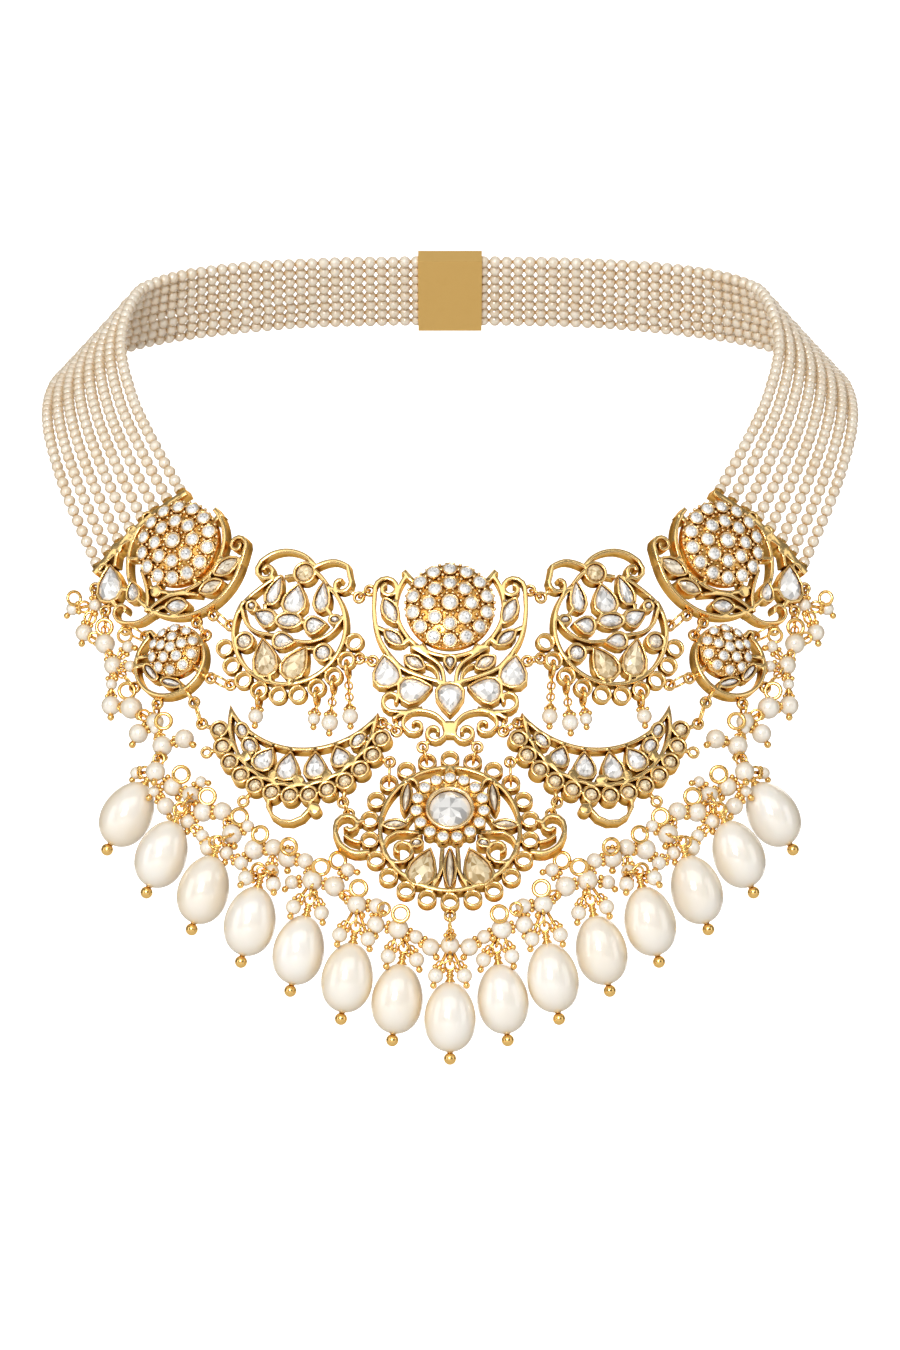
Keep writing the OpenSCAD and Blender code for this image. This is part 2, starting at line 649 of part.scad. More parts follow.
// Strings: each starts at its cup on the bar and ends at the clasp
function string_part(i) = i / (strings - 1);
function bar_part(i) = mix(0.05, 0.96, string_part(i));
function cup_root(i) = let (p = bar_point(bar_part(i))) world(side_seat, [p.x, p.y, wall_deep / 2]);
function first_stop(i) = mix(high_route[0], low_route[0], string_part(i));
function cup_dir(i) = unit(first_stop(i) - cup_root(i));
function string_path(i) = smooth(concat(
    [cup_root(i) + cup_dir(i) * (cup_l + 0.9)],
    [for (k = [0:len(high_route) - 1]) mix(high_route[k], low_route[k], string_part(i))]), 2);

module place_along(from, dir) {
    x = unit(cross(dir, [0.3, 0.9, 0.2]));
    y = cross(dir, x);
    multmatrix([
        [x.x, y.x, dir.x, from.x],
        [x.y, y.y, dir.y, from.y],
        [x.z, y.z, dir.z, from.z]])
        children();
}

module strand_cup(i) {
    color("goldenrod")
        place_along(cup_root(i), cup_dir(i))
            cylinder(d = cup_d, h = cup_l + 0.6);
}

// A tube of a few sides swept along a path, its first corner kept towards the next string
module tube(path, d, lean) {
    n = len(path);
    points = [
        for (i = [0:n - 1])
            let (t = unit(path[min(i + 1, n - 1)] - path[max(i - 1, 0)]),
                 u = unit(cross(t, lean)), v = cross(t, u))
            for (k = [0:tube_sides - 1])
                let (a = 360 * (k + 0.5) / tube_sides)
                path[i] + d / 2 * (u * cos(a) + v * sin(a))];
    walls = [
        for (i = [0:n - 2], k = [0:tube_sides - 1])
            let (a = i * tube_sides + k, b = i * tube_sides + (k + 1) % tube_sides)
            each [[a, b + tube_sides, b], [a, a + tube_sides, b + tube_sides]]];
    polyhedron(points, concat(
        [[for (k = [0:tube_sides - 1]) k]],
        [[for (k = [tube_sides - 1:-1:0]) (n - 1) * tube_sides + k]],
        walls));
}

module strand(i) {
    color("ivory") tube(string_path(i), string_d, low_route[2] - high_route[2]);
}

// One plain bar at the nape that both bundles end in
module clasp() {
    high_end = high_route[len(high_route) - 1];
    low_end = low_route[len(low_route) - 1];
    fall = low_end - high_end;
    color("goldenrod")
        translate([0, (high_end.y + low_end.y) / 2, (high_end.z + low_end.z) / 2])
            rotate([atan2(fall.z, fall.y), 0, 0])
                cube([clasp_l, norm(fall) + 4, clasp_t], center = true);
}

// The surface that the fringe and the drops lie on
function skin_y(x, z) = -60 + x * x / 260 + 0.42 * (max(z, -112) + 55);
function fringe_point(row) = [row[0], skin_y(row[0], row[1]) + 1.2 - (len(row) > 3 ? row[3] : 0), row[1]];

function drop_centre(i) = [drops[i][0], skin_y(drops[i][0], drops[i][1]) + (i % 2) * 2 * drop_stagger, drops[i][1]];
function drop_axis(i) = [sin(drops[i][2]), 0, cos(drops[i][2])];
function drop_loop(i) = drop_centre(i) + drop_axis(i) * (drop_l / 2 + neck_l + pin_loop_r + 0.5);

module place_drop(i) {
    translate(drop_centre(i))
        rotate([0, drops[i][2], 0])
            children();
}

// Egg-shaped pearl, narrower at the top, drilled from end to end
module drop_pearl(i) {
    steps = 14;
    profile = [
        for (k = [0:steps])
            let (a = 180 * k / steps)
            [drop_w / 2 * sin(a) * (1 - 0.1 * cos(a)), drop_l / 2 * cos(a)]];
    color("ivory")
        place_drop(i)
            difference() {
                rotate_extrude() polygon(profile);
                cylinder(d = drill_d, h = drop_l + 2, center = true);
            }
}

module ring(c, r, wire) {
    translate(c)
        rotate_extrude()
            translate([r, 0])
                circle(d = wire, $fn = 16);
}

// Pin: ball at the foot, wire through the pearl, neck tube and loop at the top
module drop_pin(i) {
    top = drop_l / 2;
    color("gold")
        place_drop(i) {
            translate([0, 0, -top - ball_d / 2 - 0.05])
                sphere(d = ball_d);
            translate([0, 0, -top - ball_d / 2])
                cylinder(d = pin_d, h = drop_l + ball_d / 2 + 1);
            translate([0, 0, top + 0.15])
                cylinder(d = 1.8, h = neck_l);
            translate([0, 0, top + neck_l + pin_loop_r + 0.3])
                rotate([90, 0, 0])
                    ring([0, 0, 0], pin_loop_r, ring_wire);
        }
}

module drop_pins() {
    for (i = [0:len(drops) - 1]) drop_pin(i);
    for (i = [1:len(drops) - 1]) mirror([1, 0, 0]) drop_pin(i);
}

// A pearl, its poles front and back and its seam turned away from the wires
module pearl(p, r, turn) {
    translate(p)
        rotate([0, turn, 0])
            rotate([90, 0, 0])
                sphere(r = r);
}

// Length of a wire inside a pearl
wire_sink = 0.5;
function sunk(p, pearls) = max(concat([0], [for (q = pearls) if (norm(q[0] - p) < 0.01) q[1] - wire_sink]));

// A round wire from one pearl's skin to the next, left out where they touch
module wire(w, pearls) {
    dir = unit(w[1] - w[0]);
    from = sunk(w[0], pearls);
    free = norm(w[1] - w[0]) - from - sunk(w[1], pearls);
    if (free > 2 * wire_sink)
        place_along(w[0] + dir * from, dir)
            cylinder(d = fringe_wire, h = free);
}

// A hook: the hole that it goes through, the pearl that it carries, the metal's normal, its radius
function hook_dir(h) = unit(h[1] - h[0] - h[2] * ((h[1] - h[0]) * h[2]));
function hook_wire(h) = [h[0] + hook_dir(h) * 2 * h[3], h[1]];

// The hook's ring, edge-on to the metal
module hook_ring(h) {
    dir = hook_dir(h);
    side = cross(h[2], dir);
    out = cross(side, dir);
    c = h[0] + dir * h[3];
    multmatrix([
        [dir.x, out.x, side.x, c.x],
        [dir.y, out.y, side.y, c.y],
        [dir.z, out.z, side.z, c.z]])
        ring([0, 0, 0], h[3], ring_wire);
}

// The nearest to p of the first n points
function nearest(points, p, n, k = 1, best = 0) =
    k >= n ? points[best]
    : nearest(points, p, n, k + 1, norm(points[k] - p) < norm(points[best] - p) ? k : best);

// Wires of a net: each pearl to the nearest of those before it
function net_wires(points) = [for (i = [1:len(points) - 1]) [nearest(points, points[i], i), points[i]]];

// The turn that keeps a pearl's seam farthest from the wires that end in it
seam_step = 15;
function far_ends(p, wires) = [for (w = wires, k = [0, 1]) if (norm(w[k] - p) < 0.01) w[1 - k]];
function nearness(p, ends, a) =
    max([for (e = ends) ((e.x - p.x) * cos(a) + (e.z - p.z) * sin(a)) / norm([e.x - p.x, e.z - p.z])]);
function seam_turn(p, wires) =
    let (
        ends = far_ends(p, wires),
        all = [for (a = [0:seam_step:359]) nearness(p, ends, a)])
    -seam_step * search(min(all), all)[0];

// Pearls, one row each [place, radius], with their wires and the rings that these hang in
module threaded(pearls, wires, hooks) {
    ends = concat(wires, [for (h = hooks) hook_wire(h)]);
    color("ivory") {
        for (p = pearls) pearl(p[0], p[1], seam_turn(p[0], ends));
        for (w = ends) wire(w, pearls);
        for (h = hooks) hook_ring(h);
    }
}

// A large drop hangs in the nearest pearl of the net; the middle ones have two small pearls by the bail
function drop_hook(i, points) =
    [drop_loop(i), nearest(points, drop_loop(i) + [0, 0, 2.5], len(points)), [0, 1, 0], hook_r];
function flank_place(i, s) =
    let (axis = drop_axis(i))
    drop_loop(i) + s * flank_out * [axis.z, 0, -axis.x] - flank_low * axis + [0, -flank_front, 0];

// Hangers of the side net: plaque's seat, eyelet, the pearl it carries
side_hangers = [
    [side_seat, side_eyelets[4], 0], [side_seat, side_eyelets[3], 3],
    [rosette_seat, rosette_eyelets[4], 4], [rosette_seat, rosette_eyelets[5], 10]];

module side_net() {
    points = [for (row = side_fringe) fringe_point(row)];
    lotus = [for (row = lotus_fringe) [[row[1], skin_y(row[1], row[2]) + 1.2, row[2]], row[3]]];
    threaded(
        concat([for (i = [0:len(points) - 1]) [points[i], side_fringe[i][2]]], lotus),
        net_wires(points),
        concat(
            [for (h = side_hangers) [hole(h[0], h[1]), points[h[2]], face(h[0]), hook_r]],
            [for (i = [flanked:7]) drop_hook(i, points)],
            [for (i = [0:len(lotus) - 1])
                [hole(lotus_seat, lotus_low_loops[lotus_fringe[i][0]]), lotus[i][0], face(lotus_seat), rim_hook_r]]));
}

// Right and left copies of a list of points, pearls, wires or hooks
function flipped(p) = [-p.x, p.y, p.z];
function both_pearls(rows) = concat(rows, [for (p = rows) [flipped(p[0]), p[1]]]);
function both_wires(rows) = concat(rows, [for (w = rows) [flipped(w[0]), flipped(w[1])]]);
function both_hooks(rows) = concat(rows, [for (h = rows) [flipped(h[0]), flipped(h[1]), flipped(h[2]), h[3]]]);

module centre_net() {
    points = [for (row = inner_fringe) fringe_point(row)];
    last = len(points) - 1;
    middle = fringe_point(middle_pearl);
    inner_hooks = [for (i = [1:flanked - 1]) drop_hook(i, points)];
    middle_hook = drop_hook(0, [middle]);
    flanks = [for (i = [1:flanked - 1], s = [-1, 1]) flank_place(i, s)];
    flank_wires = [for (i = [1:flanked - 1], s = [-1, 1]) [flank_place(i, s), inner_hooks[i - 1][1]]];
    middle_flanks = [for (s = [-1, 1]) flank_place(0, s)];
    threaded(
        concat(
            both_pearls(concat(
                [for (i = [0:last]) [points[i], inner_fringe[i][2]]],
                [for (p = flanks) [p, flank_r]])),
            [for (p = middle_flanks) [p, flank_r]],
            [[middle, middle_pearl[2]]]),
        concat(
            both_wires(concat(net_wires(points), flank_wires, [[points[last], middle]])),
            [for (p = middle_flanks) [p, middle]]),
        concat(both_hooks(inner_hooks), [middle_hook, [hole(medallion_seat, medallion_eyelets[2]), middle, face(medallion_seat), hook_r]]));
}

// Jump rings: each through a hole of one plaque and a hole of its neighbour
function crescent_point(p) =
    let (q = turn_z([p.x, p.y, eyelet_mid], crescent_turn))
    [q.x + crescent_mid.x, q.y + crescent_mid.y, q.z];
function hole(seat, p) = world(seat, [p.x, p.y, eyelet_mid]);
link_pairs = [
    [hole(centre_seat, [-centre_eyelets[0].x, centre_eyelets[0].y]), hole(lotus_seat, lotus_eyelets[0])],
    [hole(centre_seat, [-centre_eyelets[1].x, centre_eyelets[1].y]), hole(lotus_seat, lotus_eyelets[1])],
    [hole(side_seat, side_eyelets[0]), hole(lotus_seat, lotus_eyelets[2])],
    [hole(rosette_seat, rosette_eyelets[0]), hole(lotus_seat, lotus_eyelets[3])],
    [hole(side_seat, side_eyelets[1]), hole(rosette_seat, rosette_eyelets[2])],
    [hole(side_seat, side_eyelets[2]), hole(rosette_seat, rosette_eyelets[3])],
    [hole(rosette_seat, rosette_eyelets[1]), world(crescent_seat, crescent_point(crescent_eyelets[0]))],
    [hole(centre_seat, [-centre_eyelets[2].x, centre_eyelets[2].y]),
     world(crescent_seat, crescent_point(crescent_eyelets[1]))],
    [hole(centre_seat, [-centre_eyelets[3].x, centre_eyelets[3].y]), hole(medallion_seat, polar(rim_loop_r, 106.4))],
    [hole(medallion_seat, polar(rim_loop_r, 139.1)), world(crescent_seat, crescent_point(crescent_eyelets[2]))],
    [hole(medallion_seat, medallion_eyelets[0]), world(crescent_seat, crescent_point(crescent_eyelets[3]))]];

module link_ring(a, b) {
    dir = unit(b - a);
    side = unit(cross([0, -0.94, 0.34], dir));
    out = cross(dir, side);
    c = (a + b) / 2;
    multmatrix([
        [dir.x, out.x, side.x, c.x],
        [dir.y, out.y, side.y, c.y],
        [dir.z, out.z, side.z, c.z]])
        ring([0, 0, 0], norm(b - a) / 2, ring_wire);
}

module link_rings() {
    color("gold")
        for (pair = link_pairs, s = [0, 1])
            mirror([s, 0, 0]) link_ring(pair[0], pair[1]);
}

centre_plaque();
medallion();
centre_stones();
medallion_stones();
clasp();
drop_pins();
link_rings();
centre_net();  // pearl_fringe_centre
for (side = sides) {
    on_side(side) side_net();
    on_side(side) lotus_plaque();
    on_side(side) side_plaque();
    on_side(side) rosette_plaque();
    on_side(side) crescent();
    on_side(side) lotus_stones();
    on_side(side) side_stones();
    on_side(side) rosette_stones();
    on_side(side) crescent_stones();
    for (i = [1:strings])
        on_side(side) strand(i - 1);
}
for (i = [1:15])
    on_side(i <= 8 ? "left" : "right") drop_pearl(abs(8 - i));
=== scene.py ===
# Kundan necklace: its finishes and fine detail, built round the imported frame.
# Metres, +Z up, the wearer looks along -Y; tables of places are in millimetres.
# "left" is the side at the left of the picture; the right side is its mirror image.
import math
import random

import bmesh
import bpy
from mathutils import Matrix, Vector


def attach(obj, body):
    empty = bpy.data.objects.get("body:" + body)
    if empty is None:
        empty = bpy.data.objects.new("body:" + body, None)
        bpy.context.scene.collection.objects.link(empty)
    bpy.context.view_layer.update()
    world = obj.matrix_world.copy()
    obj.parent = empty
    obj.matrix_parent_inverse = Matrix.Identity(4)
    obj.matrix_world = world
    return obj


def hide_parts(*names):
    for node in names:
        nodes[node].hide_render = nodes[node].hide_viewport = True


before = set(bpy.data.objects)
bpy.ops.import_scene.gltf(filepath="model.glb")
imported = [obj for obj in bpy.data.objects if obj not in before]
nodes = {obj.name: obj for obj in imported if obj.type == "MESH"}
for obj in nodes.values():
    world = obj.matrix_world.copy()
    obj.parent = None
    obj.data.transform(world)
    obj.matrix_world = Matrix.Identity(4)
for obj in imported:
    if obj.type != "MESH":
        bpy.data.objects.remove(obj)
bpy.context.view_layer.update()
mm = 0.001
toMetres = Matrix.Scale(mm, 4)
mirrorX = Matrix.Scale(-1, 4, (1, 0, 0))
print("frame:", len(nodes), "nodes")


# Stage, light and camera

studio = {
    "eye": (0, -1.5, -0.0605),
    "aim": (0, -0.03, -0.06),  # what the lamps point at
    "plane": 1.44,  # from the eye to the front of the plaques
    "pixel": 0.22 * mm,  # one image pixel on that plane
    "imageHeight": 1350,
    "sensor": 36,
    "clipEnd": 20,
    "softLight": (1.0, 0.99, 0.98, 1),  # colour of the sky and of the wall's painted glow
    "skyStrength": 0.22,
    "floorZ": -0.32,
    "floorFront": -2.6,
    "wallY": 2.4,
    "wallTop": 2.4,
    "halfWidth": 2.4,
    "corner": 0.5,
    "cornerSteps": 12,
    # strength of the paper's painted glow
    "paintedGlowStrength": 0.95,
    "halo": (0.6, 1.5),  # where the wall's painted glow begins to fall off, and where it ends
    "behind": (0.5, 1.0),  # how far back that glow begins, and where it is full
}
lamps = [
    # name, place, width and height, power, colour
    ("front", (-0.1, -1.3, 0.95), (1.9, 0.8), 6.3, (1.0, 0.98, 0.95)),
    ("near", (-0.35, -1.7, 0.35), (0.55, 0.55), 15.0, (1.0, 0.98, 0.95)),
    ("left", (-1.2, -0.6, 0.2), (0.6, 1.1), 2.6, (1.0, 0.98, 0.95)),
    ("right", (1.2, -0.6, 0.2), (0.6, 1.1), 2.1, (1.0, 0.98, 0.95)),
    ("over", (0, 0.1, 0.9), (1.2, 0.6), 1.2, (1.0, 1.0, 1.0)),
    ("back", (0.4, 1.3, 0.9), (1.2, 0.8), 4.6, (1.0, 0.99, 0.98)),
]


def link(obj):
    bpy.context.scene.collection.objects.link(obj)
    return obj


def meshObject(name, mesh, finish=None):
    obj = link(bpy.data.objects.new(name, mesh))
    if finish:
        mesh.materials.append(finish)
    return obj


def setStudio():
    bpy.context.scene.view_settings.view_transform = "Standard"
    camera = bpy.data.cameras.new("view")
    camera.sensor_fit = "VERTICAL"
    camera.sensor_height = studio["sensor"]
    camera.lens = studio["sensor"] * studio["plane"] / (studio["imageHeight"] * studio["pixel"])
    camera.clip_end = studio["clipEnd"]
    eye = link(bpy.data.objects.new("view", camera))
    eye.location = studio["eye"]
    eye.rotation_euler = (math.pi / 2, 0, 0)
    bpy.context.scene.camera = eye
    for name, place, (width, height), power, colour in lamps:
        lamp = bpy.data.lights.new(name, "AREA")
        lamp.shape = "RECTANGLE"
        lamp.size, lamp.size_y = width, height
        lamp.energy = power
        lamp.color = colour
        obj = link(bpy.data.objects.new(name, lamp))
        obj.location = place
        obj.rotation_euler = (Vector(studio["aim"]) - Vector(place)).to_track_quat("-Z", "Y").to_euler()
    world = bpy.data.worlds.new("studio")
    world.use_nodes = True
    sky = world.node_tree.nodes["Background"]
    sky.inputs["Color"].default_value = studio["softLight"]
    sky.inputs["Strength"].default_value = studio["skyStrength"]
    bpy.context.scene.world = world


def makeBackdrop(finish):
    floor, wall, r, steps = (studio[key] for key in ("floorZ", "wallY", "corner", "cornerSteps"))
    turns = [math.pi / 2 * i / steps for i in range(steps + 1)]
    line = [(studio["floorFront"], floor)]
    line += [(wall - r + r * math.sin(a), floor + r - r * math.cos(a)) for a in turns]
    line += [(wall, studio["wallTop"])]
    points = [(x, y, z) for y, z in line for x in (-studio["halfWidth"], studio["halfWidth"])]
    faces = [(2 * i, 2 * i + 1, 2 * i + 3, 2 * i + 2) for i in range(len(line) - 1)]
    mesh = bpy.data.meshes.new("backdrop")
    mesh.from_pydata(points, [], faces)
    mesh.shade_smooth()
    meshObject("backdrop", mesh, finish)


# Node helpers

def newTree(name, kind, inputs, outputs):
    # Rows of inputs: name, kind of socket, value or None
    tree = bpy.data.node_groups.new(name, kind)
    for label, socketKind, value in inputs:
        socket = tree.interface.new_socket(label, in_out="INPUT", socket_type="NodeSocket" + socketKind)
        if value is not None:
            socket.default_value = value
    for label, socketKind in outputs:
        tree.interface.new_socket(label, in_out="OUTPUT", socket_type="NodeSocket" + socketKind)
    return tree, tree.nodes.new("NodeGroupInput").outputs, tree.nodes.new("NodeGroupOutput").inputs


def wire(tree, value, socket):
    # A socket is linked, a plain value is set
    if isinstance(value, bpy.types.NodeSocket):
        tree.links.new(value, socket)
    else:
        socket.default_value = value


def addNode(tree, kind, **values):
    # Capitalised names are the node's inputs, the others its settings
    node = tree.nodes.new(kind)
    for label, value in values.items():
        if label[0].isupper():
            wire(tree, value, node.inputs[label])
        else:
            setattr(node, label, value)
    return node


def maths(tree, kind, *values):
    node = addNode(tree, "ShaderNodeMath", operation=kind)
    for value, socket in zip(values, node.inputs):
        wire(tree, value, socket)
    return node.outputs[0]


def spread(tree, value, low, high, outLow=0.0, outHigh=1.0):
    return addNode(tree, "ShaderNodeMapRange", interpolation_type="SMOOTHSTEP", Value=value, **{
        "From Min": low, "From Max": high, "To Min": outLow, "To Max": outHigh}).outputs["Result"]


def blend(tree, factor, a, b):
    node = addNode(tree, "ShaderNodeMix", data_type="RGBA", Factor=factor)
    wire(tree, a, node.inputs[6])
    wire(tree, b, node.inputs[7])
    return node.outputs[2]


def total(tree, value, *others):
    for other in others:
        value = maths(tree, "ADD", value, other)
    return value


def objectPlace(tree):
    return addNode(tree, "ShaderNodeTexCoord").outputs["Object"]


def noise(tree, scale, detail):
    return addNode(tree, "ShaderNodeTexNoise", Vector=objectPlace(tree), Scale=scale,
                   Detail=detail).outputs["Fac"]


def parted(tree, vector):
    return addNode(tree, "ShaderNodeSeparateXYZ", Vector=vector).outputs


def attribute(tree, name):
    return addNode(tree, "ShaderNodeAttribute", attribute_name=name).outputs["Fac"]


# Ambient occlusion: painted shade in hollows and where parts touch
def hollows(tree, reach, samples):
    return addNode(tree, "ShaderNodeAmbientOcclusion", samples=samples, Distance=reach * mm).outputs["AO"]


# Gold and pearl, each a group of colour, roughness and height; their colour holds painted shade and light

goldToneAndShade = {
    "cloudScale": 420,
    "grainScale": 2600,
    # each mask's run: from, to and, where they aren't 0 and 1, its values there
    "rise": (0.3, 0.9, 0.32, 1.0),  # painted shade and light: darker at the foot of a wall, brighter up to its rim
    "open": (0.15, 0.92),  # and painted shade in the hollows, lighter out of them
    # the domes, higher than the rims, take back a little of the painted rim light
    "dome": (1.02, 1.1, 0.0, -0.15),
    "cloud": (0.3, 0.7, -0.08, 0.08),
    "lower": (0.02, 0.5),
    "upper": (0.5, 1.0),
    "dull": (0.0, 1.0, 0.24, 0.0),
    "grain": (0.35, 0.7, -0.03, 0.06),
    "samples": 6,  # of the hollows' shade
    "bump": (0.25, 0.04),  # strength, depth
}
pearlToneAndShade = {
    "toneShare": 0.2,
    "skinScale": 1800,
    "patch": (0.3, 0.7, 0.0, 0.2),
    "flank": (0.97, 0.15, 0.0, 0.75),  # painted shade: the colour warms and darkens from the front and the back to the flanks
    "touch": (0.2, 0.8, 0.7, 0.0),  # and painted shade where pearls touch
    "rough": (0.3, 0.7, 0.3, 0.4),
    "reach": 1.6,  # of the shade where pearls touch
    "samples": 4,
    "bump": (0.08, 0.02),
}
groupOutputs = [("Color", "Color"), ("Roughness", "Float"), ("Height", "Float")]
white, black = (1, 1, 1, 1), (0, 0, 0, 1)


def makeGoldGroup():
    tree, given, result = newTree("goldToneAndShadeGroup", "ShaderNodeTree", [
        ("Rise", "Float", 1.0), ("Open", "Float", 1.0), ("Bright", "Color", white),
        ("Mid", "Color", white), ("Deep", "Color", black), ("Polish", "Float", 0.25)], groupOutputs)
    cloud = noise(tree, goldToneAndShade["cloudScale"], 3)
    grain = noise(tree, goldToneAndShade["grainScale"], 2)
    # Tone: painted shade at the foot of the walls and in the hollows, painted light up at the rims, and a
    # random cloud
    tone = maths(tree, "MULTIPLY", spread(tree, given["Rise"], *goldToneAndShade["rise"]),
                 spread(tree, given["Open"], *goldToneAndShade["open"]))
    tone = total(tree, tone, spread(tree, given["Rise"], *goldToneAndShade["dome"]),
                 spread(tree, cloud, *goldToneAndShade["cloud"]))
    lower = blend(tree, spread(tree, tone, *goldToneAndShade["lower"]), given["Deep"], given["Mid"])
    wire(tree, blend(tree, spread(tree, tone, *goldToneAndShade["upper"]), lower, given["Bright"]), result["Color"])
    rough = total(tree, given["Polish"], spread(tree, tone, *goldToneAndShade["dull"]),
                  spread(tree, grain, *goldToneAndShade["grain"]))
    wire(tree, rough, result["Roughness"])
    wire(tree, maths(tree, "ADD", grain, cloud), result["Height"])
    return tree


def makePearlGroup():
    tree, given, result = newTree("pearlSkin", "ShaderNodeTree", [
        ("Tone", "Float", 0.5), ("Open", "Float", 1.0), ("Light", "Color", white),
        ("Warm", "Color", white), ("Patch", "Float", 160.0)], groupOutputs)
    patch = noise(tree, given["Patch"], 2)
    normal = parted(tree, tree.nodes.new("ShaderNodeNewGeometry").outputs["Normal"])
    # Random tone and patches, with painted shade on the flanks and where pearls touch
    toneAndShade = total(tree, maths(tree, "MULTIPLY", given["Tone"], pearlToneAndShade["toneShare"]),
                spread(tree, patch, *pearlToneAndShade["patch"]), spread(tree, given["Open"], *pearlToneAndShade["touch"]),
                spread(tree, maths(tree, "ABSOLUTE", normal["Y"]), *pearlToneAndShade["flank"]))
    wire(tree, blend(tree, maths(tree, "MINIMUM", toneAndShade, 1.0), given["Light"], given["Warm"]), result["Color"])
    wire(tree, spread(tree, patch, *pearlToneAndShade["rough"]), result["Roughness"])
    wire(tree, noise(tree, pearlToneAndShade["skinScale"], 1), result["Height"])
    return tree


# Materials

golds = {
    # bright, middle and deep colour, polish, reach of the hollows' painted shade, whether the walls' rise
    # paints them dark at the foot and bright at the rim
    "shadedPlaqueGold": ((0.99, 0.69, 0.29), (0.94, 0.52, 0.12), (0.17, 0.045, 0.0), 0.2, 1.3, True),
    "fineGold": ((1.0, 0.74, 0.4), (0.93, 0.6, 0.24), (0.45, 0.22, 0.05), 0.24, 0.3, False),
    "brightGold": ((1.0, 0.65, 0.22), (0.84, 0.44, 0.1), (0.25, 0.1, 0.02), 0.15, 0.6, False),
    "darkGold": ((0.88, 0.52, 0.14), (0.6, 0.3, 0.06), (0.14, 0.05, 0.01), 0.26, 0.6, False),
    "smoothGold": ((0.93, 0.6, 0.2), (0.8, 0.46, 0.12), (0.3, 0.13, 0.03), 0.34, 0.6, False),
}
goldShader = {"Metallic": 1.0, "Specular Tint": (1.0, 0.8, 0.45, 1)}
pearls = {
    # colour in front, colour on the flanks and in the painted shade, scale of the patches
    "seedPearl": ((0.88, 0.82, 0.71), (0.71, 0.5, 0.26), 300),
    "netPearl": ((0.93, 0.91, 0.86), (0.74, 0.57, 0.33), 220),
    "largePearl": ((0.93, 0.91, 0.87), (0.85, 0.69, 0.45), 90),
}
pearlShader = {"Subsurface Weight": 0.08, "Subsurface Scale": 0.8 * mm, "Coat Weight": 1.0,
               "Subsurface Radius": (1.0, 0.7, 0.45), "Coat IOR": 2.0, "Coat Roughness": 0.1}
stoneShader = {"Metallic": 0.25, "IOR": 1.6, "Coat Weight": 1.0, "Coat Roughness": 0.03}
# Stone colour: clear or champagne by tint, each facet and spark painted dark or bright as a painted
# reflection
stoneTintAndGlint = {
    "sparkScale": 480,
    "facetShare": 0.75,  # of the painted glint, the rest is the painted sparks'
    "clearRun": (0.12, 0.6),
    "clear": ((0.5, 0.5, 0.5, 1), (0.98, 0.98, 0.97, 1)),
    "tanRun": (0.1, 0.7),
    "tan": ((0.5, 0.34, 0.14, 1), (0.95, 0.8, 0.52, 1)),
    "rough": (0.0, 1.0, 0.04, 0.16),
}
mattes = {
    # colour, roughness, scale of the mottling
    "paper": ((0.92, 0.915, 0.91), 0.9, 40),
    "stringCord": ((0.5, 0.26, 0.08), 0.7, 2500),
}
mottle = 0.9  # the darker patches' share of the colour


def newMaterial(name, values):
    finish = bpy.data.materials.new(name)
    finish.use_nodes = True
    shader = finish.node_tree.nodes["Principled BSDF"]
    for label, value in values.items():
        shader.inputs[label].default_value = value
    return finish, finish.node_tree, shader


def dress(tree, shader, group, values, strength, depth):
    # Puts a group into a material and feeds the shader from it
    skin = addNode(tree, "ShaderNodeGroup", node_tree=group, **values)
    for label, socket in (("Color", "Base Color"), ("Roughness", "Roughness")):
        tree.links.new(skin.outputs[label], shader.inputs[socket])
    bump = addNode(tree, "ShaderNodeBump", Strength=strength, Distance=depth * mm,
                   Height=skin.outputs["Height"])
    tree.links.new(bump.outputs["Normal"], shader.inputs["Normal"])


def goldMaterial(name, bright, mid, deep, polish, reach, raised):
    finish, tree, shader = newMaterial(name, goldShader)
    values = {"Open": hollows(tree, reach, goldToneAndShade["samples"]), "Bright": (*bright, 1),
              "Mid": (*mid, 1), "Deep": (*deep, 1), "Polish": polish}
    if raised:
        values["Rise"] = attribute(tree, "rise")
    dress(tree, shader, goldGroup, values, *goldToneAndShade["bump"])
    return finish


def pearlMaterial(name, light, warm, patch):
    finish, tree, shader = newMaterial(name, pearlShader)
    dress(tree, shader, pearlGroup, {
        "Open": hollows(tree, pearlToneAndShade["reach"], pearlToneAndShade["samples"]), "Tone": attribute(tree, "tone"),
        "Light": (*light, 1), "Warm": (*warm, 1), "Patch": patch}, *pearlToneAndShade["bump"])
    return finish


def stoneMaterial():
    finish, tree, shader = newMaterial("cutStone", stoneShader)
    # Painted reflection: a facet value and sparks pick a dark or a bright base colour
    cells = addNode(tree, "ShaderNodeTexVoronoi", Vector=objectPlace(tree), Scale=stoneTintAndGlint["sparkScale"])
    spark = addNode(tree, "ShaderNodeSeparateColor", Color=cells.outputs["Color"]).outputs["Red"]
    glint = maths(tree, "ADD", maths(tree, "MULTIPLY", attribute(tree, "facet"), stoneTintAndGlint["facetShare"]),
                  maths(tree, "MULTIPLY", spark, 1 - stoneTintAndGlint["facetShare"]))
    clear = blend(tree, spread(tree, glint, *stoneTintAndGlint["clearRun"]), *stoneTintAndGlint["clear"])
    tan = blend(tree, spread(tree, glint, *stoneTintAndGlint["tanRun"]), *stoneTintAndGlint["tan"])
    wire(tree, blend(tree, attribute(tree, "tint"), clear, tan), shader.inputs["Base Color"])
    wire(tree, spread(tree, glint, *stoneTintAndGlint["rough"]), shader.inputs["Roughness"])
    return finish


